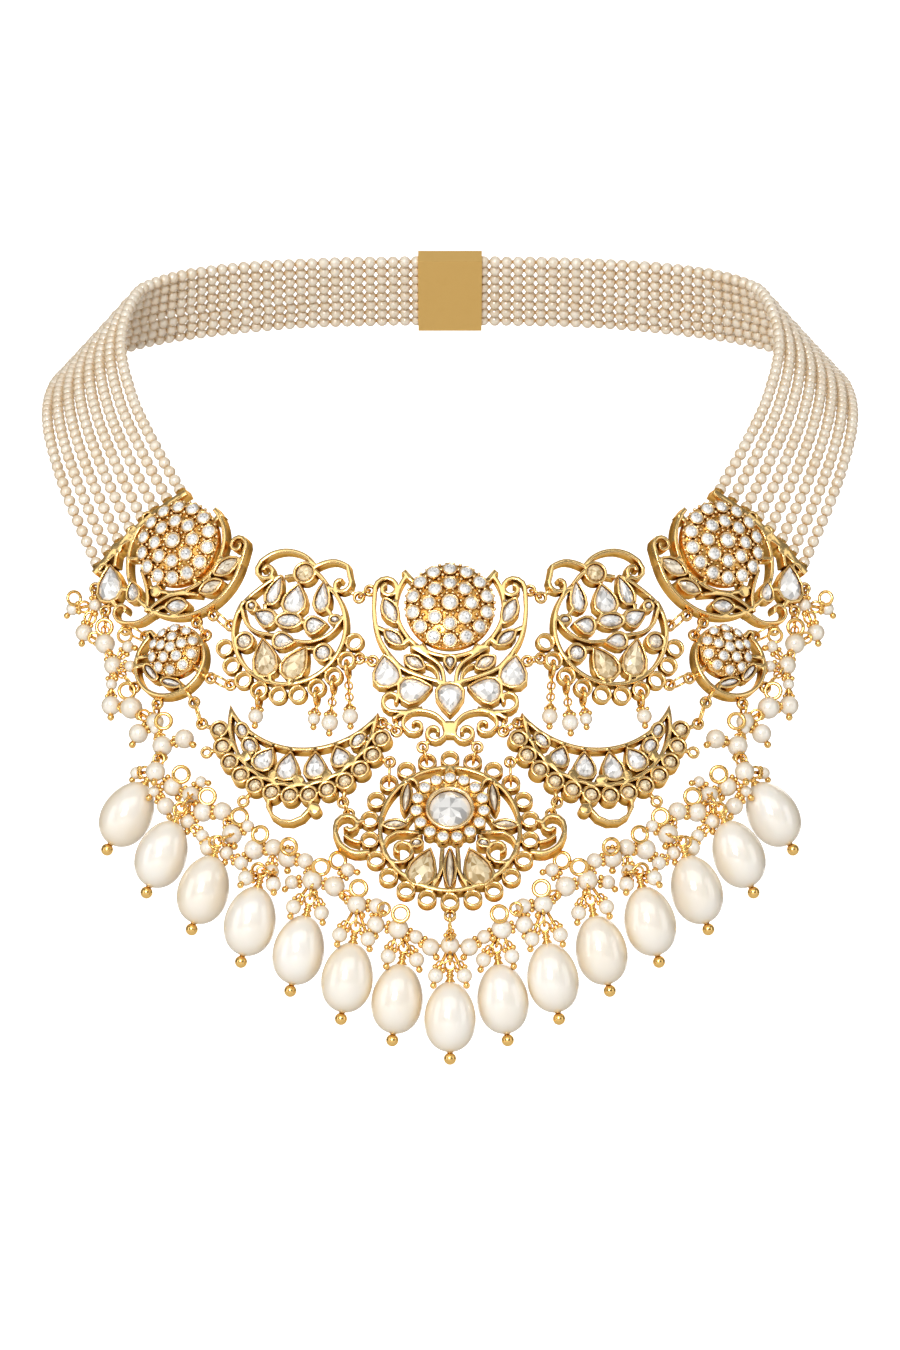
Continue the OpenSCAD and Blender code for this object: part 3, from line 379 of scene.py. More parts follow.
def plainMaterial(name, colour, roughness, scale):
    finish, tree, shader = newMaterial(name, {"Roughness": roughness})
    shade = tuple(mottle * c for c in colour)
    wire(tree, blend(tree, noise(tree, scale, 3), (*shade, 1), (*colour, 1)), shader.inputs["Base Color"])
    return finish


def glowingPaperMaterial():
    # White paper that glows in a pool behind the necklace: painted light, given off by the paper itself
    finish = plainMaterial("paper", *mattes["paper"])
    tree = finish.node_tree
    shader = tree.nodes["Principled BSDF"]
    at = parted(tree, objectPlace(tree))
    across = maths(tree, "MULTIPLY", at["X"], at["X"])
    up = maths(tree, "ADD", at["Z"], -studio["eye"][2])
    far = maths(tree, "SQRT", maths(tree, "ADD", across, maths(tree, "MULTIPLY", up, up)))
    paintedGlow = maths(tree, "MULTIPLY", spread(tree, far, *studio["halo"], 1.0, 0.0),
                 spread(tree, at["Y"], *studio["behind"]))
    wire(tree, blend(tree, paintedGlow, black, studio["softLight"]), shader.inputs["Emission Color"])
    shader.inputs["Emission Strength"].default_value = studio["paintedGlowStrength"]
    return finish


goldGroup = makeGoldGroup()
pearlGroup = makePearlGroup()
finishes = {name: goldMaterial(name, *row) for name, row in golds.items()}
finishes.update({name: pearlMaterial(name, *row) for name, row in pearls.items()})
finishes["cutStone"] = stoneMaterial()
finishes["stringCord"] = plainMaterial("stringCord", *mattes["stringCord"])
setStudio()
makeBackdrop(glowingPaperMaterial())
print("studio and materials")


# Mesh helpers

def smoothPath(points, steps, closed=False):
    # Through a few points, by steps from each to the next
    n = len(points)
    line = []
    for i in range(n if closed else n - 1):
        around = [(i + k) % n if closed else min(max(i + k, 0), n - 1) for k in (-1, 0, 1, 2)]
        a, b, c, d = (points[k] for k in around)
        for t in (j / steps for j in range(steps)):
            line.append(0.5 * (2 * b + (c - a) * t + (2 * a - 5 * b + 4 * c - d) * t * t
                               + (3 * b - a - 3 * c + d) * t ** 3))
    return line if closed else line + [points[-1]]


def circle(count):
    turns = [2 * math.pi * k / count for k in range(count)]
    return [(math.cos(a), math.sin(a)) for a in turns]


def lathe(profile, sides):
    # Closed surface of revolution about Z; the profile runs from the lower pole to the upper one
    bm = bmesh.new()
    low = bm.verts.new((0, 0, profile[0][1]))
    high = bm.verts.new((0, 0, profile[-1][1]))
    rings = [[bm.verts.new((r * x, r * y, z)) for x, y in circle(sides)] for r, z in profile[1:-1]]
    for k in range(sides):
        m = (k + 1) % sides
        bm.faces.new((low, rings[0][m], rings[0][k]))
        bm.faces.new((high, rings[-1][k], rings[-1][m]))
        for a, b in zip(rings, rings[1:]):
            bm.faces.new((a[k], a[m], b[m], b[k]))
    return bm


def bmMesh(name, bm, smooth=True):
    mesh = bpy.data.meshes.new(name)
    bm.to_mesh(mesh)
    bm.free()
    if smooth:
        mesh.shade_smooth()
    return mesh


def ringMesh(name, thick, around, section):
    # Round wire bent to a ring of radius 1
    bm = bmesh.new()
    loops = [[bm.verts.new(((1 + thick * out) * x, (1 + thick * out) * y, thick * up))
              for out, up in circle(section)] for x, y in circle(around)]
    for i, a in enumerate(loops):
        b = loops[(i + 1) % around]
        for k in range(section):
            m = (k + 1) % section
            bm.faces.new((a[k], b[k], b[m], a[m]))
    return bmMesh(name, bm)


def sphereMesh(name, sides, rings, radius=1):
    turns = [math.pi * i / rings for i in range(rings + 1)]
    return bmMesh(name, lathe([(radius * math.sin(a), -radius * math.cos(a)) for a in turns], sides))


def sectionMesh(name, profile, sides):
    return bmMesh(name, lathe([(0, profile[0][1])] + profile + [(0, profile[-1][1])], sides))


# Geometry Nodes trees

seeds = {"scatterTone": 11, "beadTone": 3, "beadSize": 5}
beadGrade = (0.96, 1.01)  # smallest and largest bead of a string


def geometryTree(name, inputs):
    tree, given, result = newTree(name, "GeometryNodeTree", [("Geometry", "Geometry", None)] + inputs,
                                  [("Geometry", "Geometry")])
    return tree, given, result["Geometry"]


def readVector(tree, name):
    return addNode(tree, "GeometryNodeInputNamedAttribute", data_type="FLOAT_VECTOR",
                   Name=name).outputs["Attribute"]


def randomValue(tree, seed, low=0.0, high=1.0):
    node = addNode(tree, "FunctionNodeRandomValue", data_type="FLOAT", Seed=seed)
    node.inputs[2].default_value, node.inputs[3].default_value = low, high
    return node.outputs[1]


def copyOnPoints(tree, points, shape, finish, seed, **values):
    # Copies of a shape, each with one random tone
    one = addNode(tree, "GeometryNodeObjectInfo", Object=shape).outputs["Geometry"]
    copies = addNode(tree, "GeometryNodeInstanceOnPoints", Points=points, Instance=one, **values)
    toned = addNode(tree, "GeometryNodeStoreNamedAttribute", data_type="FLOAT", domain="INSTANCE",
                    Name="tone", Geometry=copies.outputs["Instances"], Value=randomValue(tree, seed))
    solid = addNode(tree, "GeometryNodeRealizeInstances", Geometry=toned.outputs["Geometry"])
    return addNode(tree, "GeometryNodeSetMaterial", Geometry=solid.outputs["Geometry"],
                   Material=finish).outputs["Geometry"]


def makeScatterTree():
    # One copy of a shape at each point, turned and sized by the point's attributes
    tree, given, result = geometryTree("scatterShape", [
        ("Shape", "Object", None), ("Finish", "Material", None)])
    wire(tree, copyOnPoints(tree, given["Geometry"], given["Shape"], given["Finish"], seeds["scatterTone"],
                            Rotation=readVector(tree, "turn"), Scale=readVector(tree, "size")), result)
    return tree


def makeStringTree():
    # Beads threaded on a cord along a path
    tree, given, result = geometryTree("beadString", [
        ("Bead", "Object", None), ("Pitch", "Float", 0.0026), ("Cord", "Float", 0.0004),
        ("Finish", "Material", None), ("Cord finish", "Material", None)])
    path = addNode(tree, "GeometryNodeMeshToCurve", Mesh=given["Geometry"]).outputs["Curve"]
    even = addNode(tree, "GeometryNodeResampleCurve", mode="LENGTH", Curve=path, Length=given["Pitch"])
    beads = copyOnPoints(tree, even.outputs["Curve"], given["Bead"], given["Finish"], seeds["beadTone"],
                         Scale=randomValue(tree, seeds["beadSize"], *beadGrade))
    section = addNode(tree, "GeometryNodeCurvePrimitiveCircle", Resolution=6, Radius=given["Cord"])
    cord = addNode(tree, "GeometryNodeCurveToMesh", Curve=path,
                   **{"Profile Curve": section.outputs["Curve"], "Fill Caps": True})
    paint = addNode(tree, "GeometryNodeSetMaterial", Geometry=cord.outputs["Mesh"],
                    Material=given["Cord finish"])
    both = addNode(tree, "GeometryNodeJoinGeometry")
    tree.links.new(paint.outputs["Geometry"], both.inputs["Geometry"])
    tree.links.new(beads, both.inputs["Geometry"])
    wire(tree, both.outputs["Geometry"], result)
    return tree


def grow(name, mesh, tree, values):
    seed = meshObject(name, mesh)
    growth = seed.modifiers.new("growth", "NODES")
    growth.node_group = tree
    for item in tree.interface.items_tree:
        if item.in_out == "INPUT" and item.name in values:
            growth[item.identifier] = values[item.name]
    bpy.context.view_layer.update()
    grown = bpy.data.meshes.new_from_object(seed.evaluated_get(bpy.context.evaluated_depsgraph_get()))
    seed.modifiers.remove(growth)
    seed.data = grown
    return seed


scatterTree = makeScatterTree()
stringTree = makeStringTree()
shapes = {}


def shapeObject(name, mesh):
    shapes[name] = meshObject("shape." + name, mesh)


def scatter(name, shape, places, finish):
    # places: one 4x4 matrix for each copy
    mesh = bpy.data.meshes.new(name)
    mesh.from_pydata([m.to_translation() for m in places], [], [])
    turn = mesh.attributes.new("turn", "FLOAT_VECTOR", "POINT")
    size = mesh.attributes.new("size", "FLOAT_VECTOR", "POINT")
    for i, m in enumerate(places):
        turn.data[i].vector = m.to_euler()
        size.data[i].vector = m.to_scale()
    return grow(name, mesh, scatterTree, {"Shape": shapes[shape], "Finish": finishes[finish]})


def scatterAll(name, places, looks):
    # One scatter for each small shape; looks names its finish
    return [scatter(f"{name}.{shape}", shape, where, looks[shape]) for shape, where in places.items()]


def join(name, parts):
    keep = parts[0]
    with bpy.context.temp_override(active_object=keep, object=keep, selected_objects=parts,
                                   selected_editable_objects=parts):
        bpy.ops.object.join()
    keep.name = name
    keep.data.name = name
    return keep


def settle(piece, slot, *replaced):
    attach(piece, "root")
    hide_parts(*replaced)


def turned(direction, place, size=1, lead=(0, 1, 0)):
    # Matrix that sets a shape's Z along a direction, its Y as near to lead as that lets
    z = Vector(direction).normalized()
    x = Vector(lead).cross(z)
    x = x.normalized() if x.length > 1e-6 else z.orthogonal().normalized()
    turn = Matrix((x, z.cross(x), z)).transposed().to_4x4()
    if isinstance(size, (int, float)):
        size = (size, size, size)
    return Matrix.Translation(place) @ turn @ Matrix.Diagonal((*size, 1))


# Seats of the plaques, as in the part: middle of the front rim, turn about Z, lean back of the top

wallDeep = 3.2
seats = {
    "centre": ((0, -60, -55), 0, 20),
    "lotus": ((-35.6, -54, -50.2), -14, 18),
    "side": ((-59.3, -38.5, -33.7), -26, 18),
    "rosette": ((-62.1, -46.5, -56.7), -24, 22),
    "crescent": ((-33.4, -64, -75.9), -12, 25),
    "medallion": ((0, -77.5, -93.7), 0, 30),
}
crescentPicture = Matrix.Translation((0.9, 9, 0)) @ Matrix.Rotation(math.radians(-6), 4, "Z")


def seatMatrix(name):
    # From the plaque's own picture in millimetres to the world in millimetres
    place, *turns = seats[name]
    yaw, lean = (math.radians(turn) for turn in turns)
    roll = math.asin(-math.sin(yaw) * math.sin(lean) / (math.cos(yaw) + math.cos(lean)))
    matrix = (Matrix.Translation(place) @ Matrix.Rotation(yaw, 4, "Z")
              @ Matrix.Rotation(math.pi / 2 - lean, 4, "X") @ Matrix.Rotation(roll, 4, "Z")
              @ Matrix.Translation((0, 0, -wallDeep)))
    return matrix @ crescentPicture if name == "crescent" else matrix


# Pierced metal: the node's own walls with rounded rims

rims = {
    "tops": (wallDeep, 2.7, 1.85),  # heights of the frames, the open rings and the eyelets
    # how far below a rim, and how far in the wall is drawn there
    "rounding": ((0.0, 0.24), (0.1, 0.08), (0.3, 0.0)),
    "upright": 0.1,  # a wall's normal rises less than this
    "slack": 0.005,
    "band": 0.35,  # how near the rim an earlier cut may have ended a wall
    "stub": 0.01,  # a wall that ends so near a cut is left whole
    "onCut": 0.002,
    "parallel": 0.999,
    "opposed": 0.05,  # walls that face each other nearly cancel out
    "fade": 0.8,
    "reach": 1.8,
    "sharp": math.radians(42),
}


def isWall(face):
    return abs(face.normal.z) < rims["upright"]


def endsAtRim(face, top, depth):
    # A wall up to this rim, or what an earlier cut near the rim left of one
    if not isWall(face):
        return False
    heights = [v.co.z for v in face.verts]
    low, high = min(heights), max(heights)
    if abs(high - top) < rims["slack"]:
        return True
    return top - rims["band"] < high < top + rims["slack"] and low < top - depth - rims["stub"]


def inward(walls):
    # Direction that draws a rim's point into its wall, one unit away from each wall face
    normals = []
    for face in walls:
        n = face.normal.to_2d().normalized()
        if all(n.dot(other) < rims["parallel"] for other in normals):
            normals.append(n)
    total = sum(normals, Vector((0, 0)))
    if len(normals) == 1 or total.length < rims["opposed"]:
        return -normals[0]
    way = total.normalized()
    return -way * min(1 / max(way.dot(normals[0]), rims["opposed"]), rims["reach"])


def rimMoves(bm, top):
    # Points of the cuts below one rim: which way, how far and how high on the wall
    moves = []
    for depth, shift in rims["rounding"]:
        for v in bm.verts:
            if abs(v.co.z - top + depth) > rims["onCut"]:
                continue
            walls = [f for f in v.link_faces if isWall(f) and f.calc_center_median().z < top
                     and max(w.co.z for w in f.verts) < top + rims["slack"]]
            underside = depth == 0 and any(f.normal.z < -0.5 for f in v.link_faces)
            if walls and not underside:
                moves.append((v, inward(walls) * shift, 1 - depth * rims["fade"]))
    return moves


def roundRims(bm, rise):
    for top in rims["tops"]:
        bm.normal_update()
        for depth, shift in rims["rounding"][1:]:
            walls = [f for f in bm.faces if endsAtRim(f, top, depth)]
            parts = dict.fromkeys(walls)
            for f in walls:
                parts.update(dict.fromkeys([*f.edges, *f.verts]))
            bmesh.ops.bisect_plane(bm, geom=list(parts), dist=1e-4, plane_co=(0, 0, top - depth),
                                   plane_no=(0, 0, 1))
        bm.normal_update()
        for v, way, level in rimMoves(bm, top):
            v[rise] = level
            v.co.x += way.x
            v.co.y += way.y


def refinedMetal(name, node, picture):
    bm = bmesh.new()
    bm.from_mesh(nodes[node].data)
    bm.transform(picture.inverted())
    bmesh.ops.remove_doubles(bm, verts=bm.verts, dist=1e-3)
    if picture.determinant() < 0:
        bmesh.ops.reverse_faces(bm, faces=bm.faces)
    # rise: height up the wall, which the gold paints with shade at the foot and light at the rim
    rise = bm.verts.layers.float.new("rise")
    for v in bm.verts:
        v[rise] = max(v.co.z / wallDeep, 0)
        if v[rise] < 1.01:
            v[rise] *= rims["fade"]
    roundRims(bm, rise)
    bmesh.ops.triangulate(bm, faces=[f for f in bm.faces if len(f.verts) > 4])
    bm.transform(picture)
    if picture.determinant() < 0:
        bmesh.ops.reverse_faces(bm, faces=bm.faces)
    mesh = bmMesh(name, bm)
    mesh.set_sharp_from_angle(angle=rims["sharp"])
    return meshObject(name, mesh, finishes["shadedPlaqueGold"])


# Cut stones, each worked out of its plain solid: a rounder outline, rows of facets, a low peak

cuts = {
    "foot": 0.1,  # corners up to this height are a stone's outline
    "main": {"girdle": 0.7, "crown": 0.95, "tableScale": 0.56, "middleScale": 0.82, "middleRise": 0.55,
             "peak": 0.1},
    "small": {"girdle": 0.28, "crown": 0.42, "tableScale": 0.55, "middleScale": 0.82, "middleRise": 0.55,
              "peak": 0.04},
}


def looseParts(mesh):
    # Corners of each separate solid
    bm = bmesh.new()
    bm.from_mesh(mesh)
    bmesh.ops.remove_doubles(bm, verts=bm.verts, dist=1e-6)
    seen, parts = set(), []
    for v in bm.verts:
        if v in seen:
            continue
        stack, part = [v], []
        seen.add(v)
        while stack:
            w = stack.pop()
            part.append(w.co.copy())
            for o in (e.other_vert(w) for e in w.link_edges):
                if o not in seen:
                    seen.add(o)
                    stack.append(o)
        parts.append(part)
    bm.free()
    return parts


def stoneMesh():
    bm = bmesh.new()
    return bm, [bm.faces.layers.float.new(label) for label in ("facet", "tint")]


def facetStone(bm, layers, outline, low, tan, pick, cut):
    n = len(outline)
    middle = sum(outline, Vector((0, 0))) / n
    edge = smoothPath(outline, 3, closed=True)
    m = len(edge)
    girdle = low + cut["girdle"]

    def corner(p, rise):
        return bm.verts.new((p.x, p.y, girdle + rise))

    ring = [[bm.verts.new((p.x, p.y, z)) for p in edge] for z in (low, girdle)]
    halfway = [corner(middle + (edge[3 * k + 1] + edge[3 * k + 2] - 2 * middle) / 2 * cut["middleScale"],
                      cut["crown"] * cut["middleRise"]) for k in range(n)]
    table = [corner(middle + (p - middle) * cut["tableScale"], cut["crown"]) for p in outline]
    peak = corner(middle, cut["crown"] + cut["peak"])
    made = [bm.faces.new(list(reversed(ring[0])))]
    for k in range(m):
        made.append(bm.faces.new((ring[0][k], ring[0][(k + 1) % m], ring[1][(k + 1) % m], ring[1][k])))
    for k in range(n):
        following = (k + 1) % n
        rim = [ring[1][(3 * k + j) % m] for j in range(4)]
        for corners in (rim + [halfway[k]], (rim[0], halfway[k], table[k], halfway[k - 1]),
                        (halfway[k], table[following], table[k]), (table[k], table[following], peak)):
            made.append(bm.faces.new(corners))
    facet, tint = layers
    # Each face's random facet value sets how bright its painted reflection is
    for f in made:
        f[facet] = pick.random()
        f[tint] = tan


def stoneField(name, node, picture, tanRule):
    pick = random.Random(name)
    bm, layers = stoneMesh()
    back = picture.inverted()
    for part in looseParts(nodes[node].data):
        local = [back @ p for p in part]
        low = min(p.z for p in local)
        foot = [p.to_2d() for p in local if p.z < low + cuts["foot"]]
        middle = sum(foot, Vector((0, 0))) / len(foot)
        foot.sort(key=lambda p: math.atan2(p.y - middle.y, p.x - middle.x))
        facetStone(bm, layers, foot, low, tanRule(middle), pick, cuts["main"])
    bm.transform(picture)
    if picture.determinant() < 0:
        bmesh.ops.reverse_faces(bm, faces=bm.faces)
    return meshObject(name, bmMesh(name, bm, smooth=False), finishes["cutStone"])


# Small shapes that are copied many times, one unit in radius

spheres = {"pearl": (20, 14), "ball": (12, 8), "grain": (8, 5)}  # sides, rings
hoops = {"ring": (0.25, 18, 8), "bezel": (0.1, 40, 10)}  # thickness, steps round it, sides of its wire
sections = {
    # sides, then radius and height up the section
    "collar": (16, [(1.14, 0), (1.16, 0.3), (1.12, 0.42), (1.04, 0.47), (0.96, 0.42), (0.93, 0.3)]),
    "wire": (8, [(1, 0), (1, 1)]),
    "cap": (12, [(0.3, 0.1), (0.62, 0.16), (0.78, 0.02), (0.7, -0.12), (0.5, -0.2)]),
    "bail": (14, [(0.8, -1.3), (0.95, -1.15), (0.95, -0.95), (0.72, -0.8), (0.72, -0.35), (0.95, -0.2),
                  (1, 0), (0.95, 0.2), (0.72, 0.35), (0.72, 0.8), (0.95, 0.95), (0.95, 1.15), (0.8, 1.3)]),
}


def makeShapes():
    for name, row in spheres.items():
        shapeObject(name, sphereMesh(name, *row))
    for name, row in hoops.items():
        shapeObject(name, ringMesh(name, *row))
    for name, (sides, profile) in sections.items():
        shapeObject(name, sectionMesh(name, profile, sides))
    bm, layers = stoneMesh()
    outline = [Vector(p) for p in circle(8)]
    facetStone(bm, layers, outline, 0, 0.0, random.Random("small stone"), cuts["small"])
    shapeObject("stone", bmMesh("stone", bm, smooth=False))


makeShapes()


# Rosettes: rings of small stones in collars on a dome, with gold grains between them

domes = {
    "rise": 1.8,
    "edge": 3.5,
    "lead": (0.3, 1, 0.2),
    # how far off the dome each kind sits, and its share of the size in the rows
    "collar": (0.3, 1.05),
    "stone": (0.44, 0.97),
    "grain": (0.22, 1.4),
    "wobble": 0.05,
    # rows: how many, how far from the middle, size
    "big": {
        "stones": [(1, 0, 1.6), (8, 4.6, 1.36), (14, 8.2, 1.36)],
        "grains": [(12, 2.5, 0.3), (16, 3.3, 0.26), (8, 4.75, 0.42), (24, 6.3, 0.3), (14, 7.1, 0.34),
                   (14, 8.5, 0.38), (40, 9.75, 0.3)],
    },
    "small": {
        "stones": [(1, 0, 1.1), (5, 2.5, 1.08), (10, 4.8, 1.05)],
        "grains": [(8, 1.35, 0.24), (5, 2.7, 0.34), (16, 3.65, 0.26), (10, 4.9, 0.28), (28, 5.8, 0.24)],
    },
}


def rosette(name, picture, middle, radius, kind):
    bow = (radius ** 2 + domes["rise"] ** 2) / (2 * domes["rise"])
    root = Vector((*middle, domes["edge"] + domes["rise"] - bow))
    places = {"stone": [], "collar": [], "grain": []}
    pick = random.Random(name)

    def put(shape, r, part, size):
        angle = 2 * math.pi * part + math.pi / 2
        normal = Vector((r * math.cos(angle), r * math.sin(angle), math.sqrt(bow ** 2 - r * r)))
        lift, share = domes[shape]
        at = root + normal + normal.normalized() * lift
        places[shape].append(turned(picture.to_3x3() @ normal, picture @ at, size * share * mm,
                                    domes["lead"]))

    for count, r, size in domes[kind]["stones"]:
        for k in range(count):
            put("collar", r, k / count, size)
            put("stone", r, k / count, size * (1 + pick.uniform(-domes["wobble"], domes["wobble"])))
    for count, r, size in domes[kind]["grains"]:
        for k in range(count):
            put("grain", r, (k + 0.5) / count, size)
    return scatterAll(name, places, {"stone": "cutStone", "collar": "fineGold", "grain": "fineGold"})


# Plaques: pierced metal, its stones and its rosette in one piece each

plaqueDomes = {
    # middle, radius and kind of the rosette
    "centre": ((0, 10.2), 9.8, "big"),
    "side": ((-1.8, 2.7), 9.7, "big"),
    "rosette": ((1.0, 1.5), 6.0, "small"),
}
shortNames = ("medallion", "crescent")  # their nodes' names don't end in plaque
tanStones = {
    # middles of the champagne stones in each plaque's own picture: across, up, how tan
    "lotus": [(2.9, 13.0, 1.0), (-5.3, -6.4, 0.9), (1.9, -7.9, 1.0), (-10.2, -2.4, 0.4)],
    "medallion": [(5.8, -9.4, 1.0), (-5.8, -9.4, 1.0), (12.0, 1.1, 0.5), (-12.0, 1.1, 0.5), (9.5, 7.8, 0.5),
                  (-9.5, 7.8, 0.5), (0, -9.9, 0.6)],
    "side": [(7.1, -7.9, 0.6), (10.6, -3.4, 0.6)],
    "centre": [(7.8, -2.7, 0.4), (-7.8, -2.7, 0.4)],
    "near": 1.5,
}
crescentFringe = {"middle": (0, -2), "inner": 17.9, "tan": 0.85}
scallopStones = {"count": 15, "middle": (0, 4.8), "radius": 7.4, "size": 1.25, "lift": 0.2,
                 "bezel": 5.0, "bezelLift": 0.1}


def tanOf(name, middle):
    if name == "crescent":
        out = (middle - Vector(crescentFringe["middle"])).length > crescentFringe["inner"]
        return crescentFringe["tan"] if out else 0.0
    near = [t for x, y, t in tanStones.get(name, ()) if (middle - Vector((x, y))).length < tanStones["near"]]
    return near[0] if near else 0.0


def medallionRing(label, picture):
    # Bezel of the large stone and the small stones round it
    facing = picture.to_3x3() @ Vector((0, 0, 1))
    middle = Vector(scallopStones["middle"])

    def flat(across, lift, size):
        return turned(facing, picture @ Vector((*(middle + across), wallDeep + lift)), size * mm)

    ring = []
    for k in range(scallopStones["count"]):
        a = 2 * math.pi * k / scallopStones["count"] + math.pi / 2
        across = scallopStones["radius"] * Vector((math.cos(a), math.sin(a)))
        ring.append(flat(across, scallopStones["lift"], scallopStones["size"]))
    bezel = flat(Vector((0, 0)), scallopStones["bezelLift"], scallopStones["bezel"])
    return scatterAll(label, {"stone": ring, "collar": ring, "bezel": [bezel]},
                      {"stone": "cutStone", "collar": "brightGold", "bezel": "fineGold"})


def makePlaque(name, side=""):
    end = "_" + side if side else ""
    label = name + end
    metal = (name if name in shortNames else name + "_plaque") + end
    stones = name + "_stones" + end
    picture = toMetres @ (mirrorX @ seatMatrix(name) if side == "right" else seatMatrix(name))
    parts = [refinedMetal(label, metal, picture),
             stoneField(label + "Stones", stones, picture, lambda p: tanOf(name, p))]
    if name in plaqueDomes:
        parts += rosette(label, picture, *plaqueDomes[name])
    if name == "medallion":
        parts += medallionRing(label, picture)
    piece = join(label + ("_set" if name == "medallion" else "_plaque_set"), parts)
    settle(piece, "antique_gold", metal, stones)


makePlaque("centre")
makePlaque("medallion")
for side in ("left", "right"):
    for name in ("lotus", "side", "rosette", "crescent"):
        makePlaque(name, side)
print("plaques")


# Strings of pearls, from the cups on the side plaque's bar to the clasp

strings = {
    "count": 8,
    "bead": 2.8,
    "beadSides": (14, 9),
    "pitch": 2.76,
    "cord": 0.42,
    "steps": 6,
    "barStart": (-1.0, 15.2),
    "barRun": (-21.8, -17.6),
    "barBow": 1.5,
    "bowWay": (-0.63, 0.78),
    "barSpan": (0.05, 0.96),  # where on the bar the first and the last string start
    "cup": 2.4,
    "high": [(-67, -22, -8), (-72.5, -8, 3), (-76, 10, 15.5), (-74.5, 26, 26),
             (-70, 39, 31.5), (-55, 51, 35.5), (-31, 58, 37.5), (-8, 60, 38)],
    "low": [(-86.5, -20, -20), (-91.2, -6, -7), (-92.7, 10, 2), (-91, 28, 9),
            (-85, 45, 14), (-67, 62, 20), (-37, 73, 24), (-8, 76.5, 25)],
}


def barPoint(t):
    start, run, bow = (Vector(strings[key]) for key in ("barStart", "barRun", "bowWay"))
    return Vector((*(start + run * t + bow * strings["barBow"] * math.sin(math.pi * t)), wallDeep / 2))


def stringPath(i):
    part = i / (strings["count"] - 1)
    first, last = strings["barSpan"]
    stops = [Vector(a).lerp(Vector(b), part) for a, b in zip(strings["high"], strings["low"])]
    root = seatMatrix("side") @ barPoint(first + (last - first) * part)
    start = root + (stops[0] - root).normalized() * strings["cup"]
    return smoothPath([start] + stops, strings["steps"])


def makeStrings():
    shapeObject("stringBead", sphereMesh("stringBead", *strings["beadSides"], strings["bead"] / 2 * mm))
    for side in ("left", "right"):
        for i in range(strings["count"]):
            turn = mirrorX @ toMetres if side == "right" else toMetres
            line = [turn @ p for p in stringPath(i)]
            mesh = bpy.data.meshes.new("path")
            mesh.from_pydata(line, [(k, k + 1) for k in range(len(line) - 1)], [])
            node = f"strand_{side}_{i + 1}"
            piece = grow(node + "_pearls", mesh, stringTree, {
                "Bead": shapes["stringBead"], "Pitch": strings["pitch"] * mm, "Cord": strings["cord"] * mm,
                "Finish": finishes["seedPearl"], "Cord finish": finishes["stringCord"]})
            piece.data.shade_smooth()
            settle(piece, "string_pearl", node)


makeStrings()
print("strings")


# Large drops

drops = {
    "count": 15,
    "width": 11.2,
    "length": 15.4,
    "taper": 0.1,
    "rings": 26,
    "sides": 40,
    "stagger": 1.6,  # every second drop stands this far back
    "neck": 2.0,
    "loop": 1.1,
    "ball": 2.7,
    # across, up, lean outwards at the foot, from the middle out
    "places": [(0, -134.4, 0), (-11.4, -130.6, 7), (-22.2, -126.0, 9), (-32.8, -120.2, 12),
               (-43.4, -114.0, 13), (-53.8, -107.4, 17), (-63.2, -99.8, 22), (-71.2, -91.2, 30)],
}
chest = {"front": -60, "bend": 260, "slope": 0.42, "top": -55, "foot": -112}


def skinY(x, z):
    # The surface that the drops and the nets lie on
    return chest["front"] + x * x / chest["bend"] + chest["slope"] * (max(z, chest["foot"]) - chest["top"])


def dropMatrix(i):
    x, z, lean = drops["places"][i]
    y = skinY(x, z) + (i % 2) * drops["stagger"]
    return Matrix.Translation((x, y, z)) @ Matrix.Rotation(math.radians(lean), 4, "Y")


def eggMesh(name):
    turns = [math.pi * k / drops["rings"] for k in range(drops["rings"] + 1)]
    profile = [(drops["width"] / 2 * math.sin(a) * (1 + drops["taper"] * math.cos(a)),
                -drops["length"] / 2 * math.cos(a)) for a in turns]
    return bmMesh(name, lathe(profile, drops["sides"]))


def pinParts(local):
    half, ball, neck, loop = drops["length"] / 2, drops["ball"] / 2, drops["neck"], drops["loop"]
    axis, across = (local.to_3x3() @ Vector(v) for v in ((0, 0, 1), (0, 1, 0)))
    rows = [
        # shape, its direction, how high up the drop's axis, size
        ("ball", axis, -half - ball - 0.05, ball),
        ("wire", axis, -half - ball, (0.35, 0.35, 2 * half + ball + 1)),
        ("bail", axis, half + 0.15 + neck / 2, (0.95, 0.95, 0.9)),
        ("ring", across, half + neck + loop + 0.3, loop),
        ("cap", -axis, -half, 0.9),
        ("cap", axis, half - 0.1, 1.5),
    ]
    return [(shape, toMetres @ turned(way, local @ Vector((0, 0, z)), size)) for shape, way, z, size in rows]


def makeDrops():
    places = {"ball": [], "wire": [], "bail": [], "ring": [], "cap": []}
    for k in range(drops["count"]):
        i = k - drops["count"] // 2
        local = dropMatrix(abs(i))
        if i > 0:
            local = mirrorX @ local @ mirrorX
        egg = eggMesh("egg")
        egg.transform(toMetres @ local)
        tone = egg.attributes.new("tone", "FLOAT", "POINT")
        tone.data.foreach_set("value", [random.Random(k).random()] * len(tone.data))
        name = f"drop_pearl_{k + 1}"
        settle(meshObject(name + "_lustre", egg, finishes["largePearl"]), "drop_pearl", name)
        for shape, place in pinParts(local):
            places[shape].append(place)
    parts = scatterAll("pin", places, dict.fromkeys(places, "brightGold"))
    settle(join("drop_pins_set", parts), "bright_gold", "drop_pins")


makeDrops()
print("drops")


# Nets of small pearls

